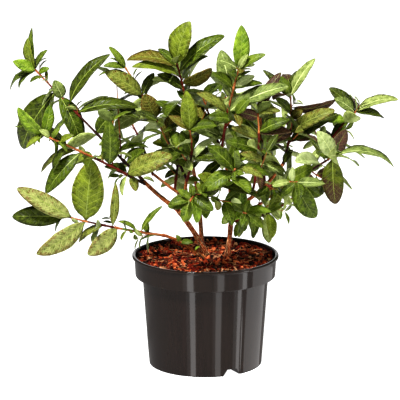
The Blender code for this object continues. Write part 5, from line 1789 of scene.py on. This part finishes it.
rows = []
for mass in masses:
    colours = SHOOT_COLOURS.get(mass.name, OTHER_SHOOT)
    rows.append((mass.twig, TWIG_RADIUS, TWIG_TIP_RADIUS, roots_near(mass, mass.twig), colours))
    for path in mass.sides:
        rows.append((path, SIDE_RADIUS, SIDE_TIP_RADIUS, roots_near(mass, path), SIDE_SHOOT))
shoot_piece("shoots", rows)

# %% [markdown]
# ## Leaves
# Each leaf is a thin closed shell on a small grid. Rows run from foot to tip, columns from edge to
# edge, with a narrow strip for the midrib in the middle. The rule's own formula places the points,
# and to that come waves along the edge and a slight pucker between the side veins. The upper side,
# the paler underside and the midrib have finishes of their own. Leaves differ a lot in the
# photograph: deep and yellowish greens, bronze and brown ones, and pale ones that show their
# underside. Each leaf that stands out has the colour it has there, and the rest are dealt one by
# weights.
# For some leaves that colour is darker than their own, as painted shade, and for some paler, as
# painted light.

# %% Marks on a leaf
# Side veins: their slant, and the gap between them as a share of the leaf's length
VEIN_SLANT = -0.2
VEIN_GAP = 0.03
# The noise of the patches, bronze ones the leaf has and dark ones of painted shade, how much more
# they grow towards edge and tip, how uneven the border of the outer half is and how far it runs
# askew, and the size of the net
PATCHES = (280.0, 4.0)
PATCH_ROUGHNESS = 0.62
EDGE_BURN_AND_SHADE = 0.24
TIP_BURN_AND_SHADE = 0.16
TIP_UNEVEN = 0.7
TIP_ASKEW = 0.12
NET_SCALE = 400.0
# Where each mask begins and where it is full
MARKS = {
    "Vein": (0.012, 0.0),
    # the pale rim along the edge: a painted highlight
    "RimHighlight": (0.88, 0.95),
    # the burn mask: bronze patches, and dark patches of painted shade
    "BurnAndShade": (0.9, 1.08),
    "Tip": (0.78, 0.86),
    "Net": (0.16, 0.02),
    "Pucker": (0.0, 0.03),
}


def leaf_marks_group():
    """Masks from a leaf's surface coordinates, which run across it from -1 to 1 and along it from 0
    to 1. Vein is a wave of the distance along less a share of the distance across, the rim mask the
    outer edge, where a pale rim is painted as a highlight, the burn mask a noise that grows towards
    edge and tip, for bronze patches and for dark patches of painted shade, Tip the outer half with
    an uneven border, Net the borders of small cells, and Pucker the swelling between side veins."""
    tree, given, result = new_group("LeafMarks", ("BurntAndShaded",), MARKS)
    apart = node(tree, "ShaderNodeSeparateXYZ", {0: on_surface(tree)}).outputs
    across, along = apart["X"], apart["Y"]
    aside = worked_out(tree, "ABSOLUTE", across)
    slant = worked_out(tree, "MULTIPLY_ADD", aside, VEIN_SLANT, along)
    wave = worked_out(tree, "PINGPONG", slant, 2 * VEIN_GAP)
    place = on_object(tree)
    patches = noise(tree, place, *PATCHES, Roughness=PATCH_ROUGHNESS)
    outer = worked_out(tree, "MULTIPLY_ADD", aside, EDGE_BURN_AND_SHADE, patches)
    further = worked_out(tree, "MULTIPLY_ADD", along, TIP_BURN_AND_SHADE, outer)
    uneven = worked_out(tree, "MULTIPLY_ADD", patches, TIP_UNEVEN, along)
    cells = {"Vector": place, "Scale": NET_SCALE}
    net = node(tree, "ShaderNodeTexVoronoi", cells, feature="DISTANCE_TO_EDGE")
    sources = {
        "Vein": wave,
        "RimHighlight": aside,
        "BurnAndShade": worked_out(tree, "ADD", further, given["BurntAndShaded"]),
        "Tip": worked_out(tree, "MULTIPLY_ADD", across, TIP_ASKEW, uneven),
        "Net": net.outputs["Distance"],
        "Pucker": wave,
    }
    for name, edges in MARKS.items():
        feed(tree, result[name], ramp(tree, sources[name], *edges))
    return tree


LEAF_MARKS = leaf_marks_group()
print("marks", list(MARKS))

# %% Finishes of the leaves
BRONZE = (74, 40, 12)
# Colour of the dark patches at the edges and tips of green leaves: painted shade
PAINTED_EDGE_SHADE = (24, 22, 4)
PURPLE = (46, 25, 20)
# Pale tone of the veins, and of the pale rim that is a painted highlight
VEIN_AND_HIGHLIGHT_TONE = (206, 210, 130)
VEIN_AND_HIGHLIGHT_SHARE = 0.4
BURN_AND_SHADE_SHARE = 0.88
NET_SHARE = 0.6
LEAF_BLOTCH = 0.0055
BLOTCH_SPREAD = 2.8
PUCKER_STRENGTH = 0.5
PUCKER_DEPTH = 0.001


def leaf_finish(name, low, high, burnt_and_shaded, burn_and_shade_colour, veined, rim_highlight, roughness, gloss, tip=0.0):
    """Leaf skin: two tones in soft blotches, paler veins, patches that gather towards edge and tip,
    bronze ones that the leaf has and dark ones of painted shade, and a pale thin rim that is a
    painted highlight. tip is how strongly the outer half turns purple."""
    finish, tree, shader = new_finish(name, roughness, specular=gloss)
    marks = node(tree, "ShaderNodeGroup", {"BurntAndShaded": burnt_and_shaded}, node_tree=LEAF_MARKS).outputs
    light = srgb(*((1 - VEIN_AND_HIGHLIGHT_SHARE) * np.array(high) + VEIN_AND_HIGHLIGHT_SHARE * np.array(VEIN_AND_HIGHLIGHT_TONE)))
    tone = colour_blend(tree, mottle(tree, LEAF_BLOTCH, BLOTCH_SPREAD), srgb(*low), srgb(*high))
    layers = (
        ("Tip", tip, srgb(*PURPLE)),
        # bronze patches, and dark patches of painted shade at edge and tip
        ("BurnAndShade", BURN_AND_SHADE_SHARE, srgb(*burn_and_shade_colour)),
        ("Net", NET_SHARE * veined, light),
        ("Vein", veined, light),
        # a pale rim along the edge: a painted highlight
        ("RimHighlight", rim_highlight, light),
    )
    for mask, share, colour in layers:
        tone = colour_blend(tree, worked_out(tree, "MULTIPLY", marks[mask], share), tone, colour)
    feed(tree, shader.inputs["Base Color"], tone)
    raise_surface(tree, shader, marks["Pucker"], PUCKER_STRENGTH, PUCKER_DEPTH)
    return finish


# Each look: its two tones, how far the patches spread, their colour (bronze for patches that the
# leaf has, dark for painted shade), how clear its veins and its rim (a painted highlight) are, its
# roughness and its gloss
LEAF_LOOKS = {
    "deep": ((15, 28, 1), (64, 80, 9), 0.06, PAINTED_EDGE_SHADE, 0.25, 0.4, 0.36, 0.09),
    "dark": ((8, 15, 1), (54, 66, 7), 0.12, PAINTED_EDGE_SHADE, 0.2, 0.3, 0.32, 0.12),
    "mid": ((32, 51, 2), (84, 100, 20), 0.04, PAINTED_EDGE_SHADE, 0.3, 0.45, 0.38, 0.09),
    "olive": ((47, 58, 2), (95, 108, 23), 0.08, BRONZE, 0.35, 0.45, 0.4, 0.09),
    "bright": ((31, 58, 0), (74, 94, 5), 0.0, PAINTED_EDGE_SHADE, 0.3, 0.5, 0.4, 0.09),
    "young": ((49, 75, 2), (107, 130, 32), 0.02, BRONZE, 0.3, 0.5, 0.42, 0.08),
    "bronze": ((36, 41, 2), (78, 71, 16), 0.2, BRONZE, 0.6, 0.4, 0.42, 0.08),
    "mottled": ((38, 47, 4), (99, 104, 38), 0.16, BRONZE, 0.5, 0.5, 0.44, 0.08),
    "blotched": ((66, 76, 22), (126, 130, 74), 0.22, BRONZE, 0.5, 0.5, 0.5, 0.08),
    # a purple tint made dark by painted shade, as on leaves that show their backs in shade
    "plum": ((26, 11, 10), (70, 42, 34), 0.1, PAINTED_EDGE_SHADE, 0.3, 0.4, 0.44, 0.08),
    "twotone": ((24, 33, 1), (69, 77, 15), 0.04, PAINTED_EDGE_SHADE, 0.2, 0.3, 0.42, 0.08, 0.95),
    "pale": ((79, 93, 34), (136, 147, 85), 0.02, BRONZE, 0.35, 0.4, 0.55, 0.07),
    "dusty": ((45, 59, 18), (104, 118, 59), 0.04, PAINTED_EDGE_SHADE, 0.35, 0.4, 0.52, 0.07),
    "milky": ((102, 117, 64), (157, 167, 115), -0.04, BRONZE, 0.3, 0.4, 0.6, 0.07),
}
MIDRIBS = {
    "midrib_green": ((94, 110, 34), (128, 138, 58)),
    "midrib_pale": ((176, 186, 116), (198, 206, 142)),
}
MIDRIB_BLOTCH = 0.01
MIDRIB_ROUGHNESS = 0.5
MIDRIB_GLOSS = 0.3


def midrib_finish(name, low, high):
    finish, tree, shader = new_finish(name, MIDRIB_ROUGHNESS, specular=MIDRIB_GLOSS)
    tone = colour_blend(tree, mottle(tree, MIDRIB_BLOTCH), srgb(*low), srgb(*high))
    feed(tree, shader.inputs["Base Color"], tone)
    return finish


LEAF_FINISHES = [leaf_finish("leaf_" + name, *look) for name, look in LEAF_LOOKS.items()]
LEAF_FINISHES += [midrib_finish(name, *tones) for name, tones in MIDRIBS.items()]
print("finishes of the leaves", len(LEAF_FINISHES))

# %% Fine leaf on a grid
# Rows of points: how many a large leaf and a small one have, and how they gather at foot and tip
LARGE_LEAF = 30.0
LARGE_ROWS = 12
SMALL_ROWS = 7
ROW_FIRST = 0.02
ROW_SPAN = 0.965
ROW_POWER = 1.05
FINE_WIDEST_POWER = 0.87
FINE_BLUNT_POWERS = (0.5, 0.72)

# Columns from edge to edge, and the midrib between the middle two: half its width, its least share
# of that, the length at which it grows by the whole of it, its taper, and its limits near the tip
COLUMN_SHARES = np.array([-1.0, -0.55, -0.001, 0.001, 0.55, 1.0])
RIB_HALF = 0.34
RIB_LEAST = 0.3
RIB_LENGTH = 60.0
RIB_TAPER = 1.15
RIB_ROOM = (0.3, 0.02)
LEAST_HALF = 0.05

# The fold is steeper at the midrib than at the edge, and the edge waves by a share of the length
FOLD_STEEP = 1.25
FOLD_EASE = 0.35
EDGE_WAVE = 0.014
EDGE_WAVES = (1.6, 3.2)


def blade_grid(leaf, rows, rng):
    """The upper skin and its normals: rows by six columns. The two middle columns stand half a
    midrib's width aside."""
    _, heading, face, length, aspect, _, fold = leaf
    gathered = 0.5 - 0.5 * np.cos(np.pi * np.linspace(0.0, 1.0, rows) ** ROW_POWER)
    share = ROW_FIRST + ROW_SPAN * gathered
    blunt = rng.uniform(*FINE_BLUNT_POWERS)
    half = length * (1 - PETIOLE) * aspect * np.sin(np.pi * share**FINE_WIDEST_POWER) ** blunt
    rib = RIB_HALF * (RIB_LEAST + length / RIB_LENGTH) * (RIB_TAPER - share)
    rib = np.minimum(rib, RIB_ROOM[0] * half + RIB_ROOM[1]) / np.maximum(half, LEAST_HALF)
    across = np.tile(COLUMN_SHARES, (rows, 1))
    across[:, 2], across[:, 3] = -rib, rib
    middle, normal = blade_points(leaf, share, 0.0)
    reach = half[:, None] * across
    lift = np.abs(reach) * math.sin(fold) * (FOLD_STEEP - FOLD_EASE * np.abs(across))
    points = middle[:, None] + reach[..., None] * np.cross(heading, face) * math.cos(fold)
    points += lift[..., None] * normal[:, None]
    swell = EDGE_WAVE * length * np.sin(np.pi * share)
    waves = rng.uniform(*EDGE_WAVES)
    for column, phase in zip((0, -1), rng.uniform(0, 2 * np.pi, 2)):
        points[:, column] += (swell * np.sin(2 * np.pi * waves * share + phase))[:, None] * normal
    surface = np.stack([across, np.tile(share[:, None], (1, len(COLUMN_SHARES)))], -1)
    return points, normal, surface

# %% Leaf as a thin shell
# Corners of a section, the parts that its faces belong to, and the thickness at its four lower ones
SECTION = 10
UPPER, MIDRIB, UNDERSIDE = range(3)
SECTION_PARTS = [UPPER, UPPER, MIDRIB, UPPER, UPPER] + 5 * [UNDERSIDE]
FINE_THICKNESS = 0.32
SECTION_THICKNESS = FINE_THICKNESS * np.array([1.0, 1.9, 1.9, 1.0])[:, None]


def leaf_shell(leaf, rng):
    """A closed thin leaf: each section is six points of the upper skin and four of the underside,
    and a point in the twig and one at the tip close it."""
    rows = LARGE_ROWS if leaf[3] > LARGE_LEAF else SMALL_ROWS
    upper, normal, surface = blade_grid(leaf, rows, rng)
    under = upper[:, 4:0:-1] - normal[:, None] * SECTION_THICKNESS
    sections = np.concatenate([upper, under], axis=1)
    coords = np.concatenate([surface, surface[:, 4:0:-1]], axis=1)
    tip = blade_points(leaf, 1.0, 0.0)[0]
    points = np.vstack([sections.reshape(-1, 3), leaf[0], tip])
    coords = np.vstack([coords.reshape(-1, 2), [(0.0, 0.0), (0.0, 1.0)]])
    return points, coords, rows


def leaf_faces(rows):
    """Faces of a leaf's shell, and the part each belongs to. Those below start one corner on, so
    that both skins bend along the same diagonals."""
    walls = wrapped_grid(rows, SECTION).reshape(rows - 1, SECTION, 4)
    walls[:, 5:] = np.roll(walls[:, 5:], -1, axis=-1)
    parts, end_parts = np.tile(SECTION_PARTS, rows - 1), np.tile(SECTION_PARTS, 2)
    return walls.reshape(-1, 4), parts, end_fans(rows, SECTION), end_parts

# %% [markdown]
# ## Finer shoots in the axils
# Where a leaf meets its shoot, a bud often grows into a short shoot of its own with a few small
# leaves. They are drawn from a seed too, and kept only where they touch nothing, so they fill the
# crown without leaving its reach.

# %% Axil shoots
# How often one grows, where along the leading twig, its roll round it and its lean in radians, its
# length, bow and radius at both ends, and where its two pairs of leaves stand
AXIL_SEED = 21
AXIL_CHANCE = 0.5
AXIL_SPAN = (0.16, 0.94)
AXIL_ROLL = (0.8, 2.6)
AXIL_LEAN = (0.5, 0.9)
AXIL_LENGTH = (7.0, 17.0)
AXIL_BOW = 0.04
AXIL_RADII = (0.5, 0.25)
AXIL_PAIRS = (0.55, 0.98)
AXIL_PAIR_TURN = 3.1

# Its leaves: their length, lean, how far their faces stray, relative width, curl and fold
AXIL_LEAF = (9.0, 17.0)
AXIL_LEAF_LEAN = (0.5, 1.1)
AXIL_LEAF_STRAY = 0.3
AXIL_LEAF_WIDTH = (0.9, 1.1)
AXIL_LEAF_CURL = (0.1, 0.7)
AXIL_LEAF_FOLD = 0.3


def axil_leaf(rng, root, tangent, plane, length):
    """A small leaf that leans out, its face between the shoot, the sky and outwards."""
    lean = rng.uniform(*AXIL_LEAF_LEAN)
    heading = unit(tangent * math.cos(lean) + plane * math.sin(lean))
    stray = rng.uniform(-AXIL_LEAF_STRAY, AXIL_LEAF_STRAY, 3)
    face = (tangent + UP + outward_from(root, tangent)) / 2 + stray
    face = unit(face - heading * (face @ heading))
    width, curl = LEAF_ASPECT * rng.uniform(*AXIL_LEAF_WIDTH), rng.uniform(*AXIL_LEAF_CURL)
    return root, heading, face, length, width, curl, AXIL_LEAF_FOLD


def axil_pairs(rng, path):
    """Two pairs of small leaves on a short shoot."""
    leaves = []
    for place in AXIL_PAIRS:
        stand, ahead = along_of(path, place)
        aside = turned(sideways(ahead), ahead, rng.uniform(0, AXIL_PAIR_TURN))
        size = rng.uniform(*AXIL_LEAF)
        leaves += [axil_leaf(rng, stand, ahead, aside * way, size) for way in (1, -1)]
    return leaves


def grow_axils(mass, taken, rng):
    """Short shoots beside the leaves of the leading twig, and their small leaves."""
    grown = []
    plane = sideways(along_of(mass.twig, 0.5)[1])
    for share in np.linspace(*AXIL_SPAN, 2 * mass.pairs):
        root, tangent = along_of(mass.twig, share)
        plane = unit(plane - tangent * (plane @ tangent))
        plane = turned(plane, tangent, rng.uniform(*AXIL_ROLL))
        if rng.uniform() > AXIL_CHANCE:
            continue
        length, lean = rng.uniform(*AXIL_LENGTH), rng.uniform(*AXIL_LEAN)
        end = root + length * (tangent * math.cos(lean) + plane * math.sin(lean))
        path = curve_at(root, end, -plane * length * AXIL_BOW, np.linspace(0, 1, SIDE_STEPS))
        shaped = [(leaf, boxed(*leaf_solid(leaf))) for leaf in axil_pairs(rng, path)]
        kept = [pair for pair in shaped if not touches(pair[1], taken)]
        if len(kept) > 1:
            grown.append((path, [leaf for leaf, _ in kept]))
            taken += [shape for _, shape in kept]
    return grown


axil_rng = np.random.default_rng(AXIL_SEED)
taken = [boxed(*leaf_solid(leaf)) for mass in masses for leaf in mass.leaves]
taken += [boxed(*tube(path, radii, LIMB_SIDES)) for path, radii in limbs.values()]
axils = {mass.name: grow_axils(mass, taken, axil_rng) for mass in masses}
axil_paths = [path for grown in axils.values() for path, _ in grown]
shoot_piece("axil_shoots", [(path, *AXIL_RADII, [path[1]], (ORANGE, TIP)) for path in axil_paths])

# %% Leaves in their pieces
# How often each look falls to a leaf that isn't placed one by one: on the left, on the right, where
# more leaves are dark purple-brown, a purple tint made dark by painted shade, and on the small
# leaves of the axils
LEFT_LOOKS = {
    "deep": 0.36, "mid": 0.2, "dark": 0.2, "olive": 0.07,
    "mottled": 0.05, "pale": 0.05, "bronze": 0.04, "young": 0.03,
}
RIGHT_LOOKS = {
    "deep": 0.2, "mid": 0.14, "dark": 0.2, "plum": 0.18,
    "olive": 0.04, "mottled": 0.04, "pale": 0.1, "dusty": 0.1,
}
SMALL_LOOKS = {"mid": 0.3, "young": 0.2, "bright": 0.14, "deep": 0.2, "pale": 0.08, "olive": 0.08}
PALE_LOOKS = ("pale", "dusty", "milky")
UNDERSIDES = ("pale", "dusty", "pale", "milky")


def parts_of(look, rng):
    """The finish of a leaf's upper skin, of its midrib and of its underside."""
    skins = list(LEAF_LOOKS)
    under = "dusty" if look == "twotone" else rng.choice(UNDERSIDES)
    return np.array([skins.index(look), len(skins) + (look in PALE_LOOKS), skins.index(under)])


def leaves_piece(name, leaves, looks, seed):
    """All leaves of a mass in one mesh, each with its look."""
    rng = np.random.default_rng(seed)
    stacks, count = [], 0
    for leaf, look in zip(leaves, looks):
        shell, surface, rows = leaf_shell(leaf, rng)
        wall, wall_parts, fan, fan_parts = leaf_faces(rows)
        finish = parts_of(look, rng)
        skins = finish[wall_parts], finish[fan_parts]
        stacks.append((shell, surface, wall + count, fan + count, *skins))
        count += len(shell)
    points, surfaces, walls, fans, wall_looks, fan_looks = zip(*stacks)
    faces = [np.vstack(walls), np.vstack(fans)]
    which = np.concatenate(wall_looks + fan_looks)
    piece = new_piece(name, np.vstack(points), faces, LEAF_FINISHES, which, np.vstack(surfaces))
    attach(piece, "root")
    return piece


def dealt(rng, looks):
    """One look, drawn by its weight."""
    weights = np.array(list(looks.values()))
    return list(looks)[rng.choice(len(looks), p=weights / weights.sum())]

# %% Looks of the seeded leaves
# A few leaves grown by seed that stand out in the photograph too: their mass, number and look.
# Most of these looks are paler than the leaf's own colour: painted light on leaves that stand in
# shade
LOOKS_WITH_PAINTED_LIGHT = {
    ("foliage_far_right", 8): "milky",
    ("foliage_right_front", 15): "milky",
    ("foliage_inner_top", 11): "milky",
    ("foliage_mid_left", 15): "pale",
    ("foliage_low_left", 15): "deep",
    ("foliage_centre_left", 14): "pale",
    ("foliage_top_right", 13): "pale",
    ("foliage_front_right", 7): "bright",
}
# Masses whose tip is this far to the right and this high have more dark purple-brown leaves, a
# purple tint made dark by painted shade
RIGHT_FROM = 40.0
PURPLE_ABOVE = 235.0
LOOK_SEED = 3

look_rng = np.random.default_rng(LOOK_SEED)
for seed, mass in enumerate(masses):
    small = [leaf for _, kept in axils[mass.name] for leaf in kept]
    tip = mass.twig[-1]
    seeded = RIGHT_LOOKS if tip[0] > RIGHT_FROM and tip[2] > PURPLE_ABOVE else LEFT_LOOKS
    looks = [look or dealt(look_rng, seeded) for look in mass.looks]
    looks = [LOOKS_WITH_PAINTED_LIGHT.get((mass.name, number), look) for number, look in enumerate(looks)]
    looks += [dealt(look_rng, SMALL_LOOKS) for _ in small]
    piece = leaves_piece(mass.name.replace("foliage_", "leaves_"), mass.leaves + small, looks, seed)
    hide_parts(mass.name)
print("leaf pieces", len(masses))

# %% [markdown]
# A few small leaves sprout from the lowest bough itself, close above the bark chips.

# %% Sprouts
# Each sprout by its place in the photograph, as above
SPROUTS = (
    (180, 242.5, 193, 242.5, 6, 30, 12, "deep"),
    (181, 242, 176, 235, 5, 30, 6, "mid"),
    (194.3, 251.3, 200.2, 246.3, 2.3, 60, 20, "young"),
)
SPROUT_SEED = 99
low_branch = limbs["low_branch"][0]


def sprout(*reading):
    share, clock, length, turn, lean, width = placed(low_branch, *reading)
    root = along_of(low_branch, share)[0]
    return leaf_by_view(root, length, *np.radians([clock, turn, lean]), width)


sprouts = [sprout(*reading) for *reading, _ in SPROUTS]
leaves_piece("leaves_sprouts", sprouts, [look for *_, look in SPROUTS], SPROUT_SEED)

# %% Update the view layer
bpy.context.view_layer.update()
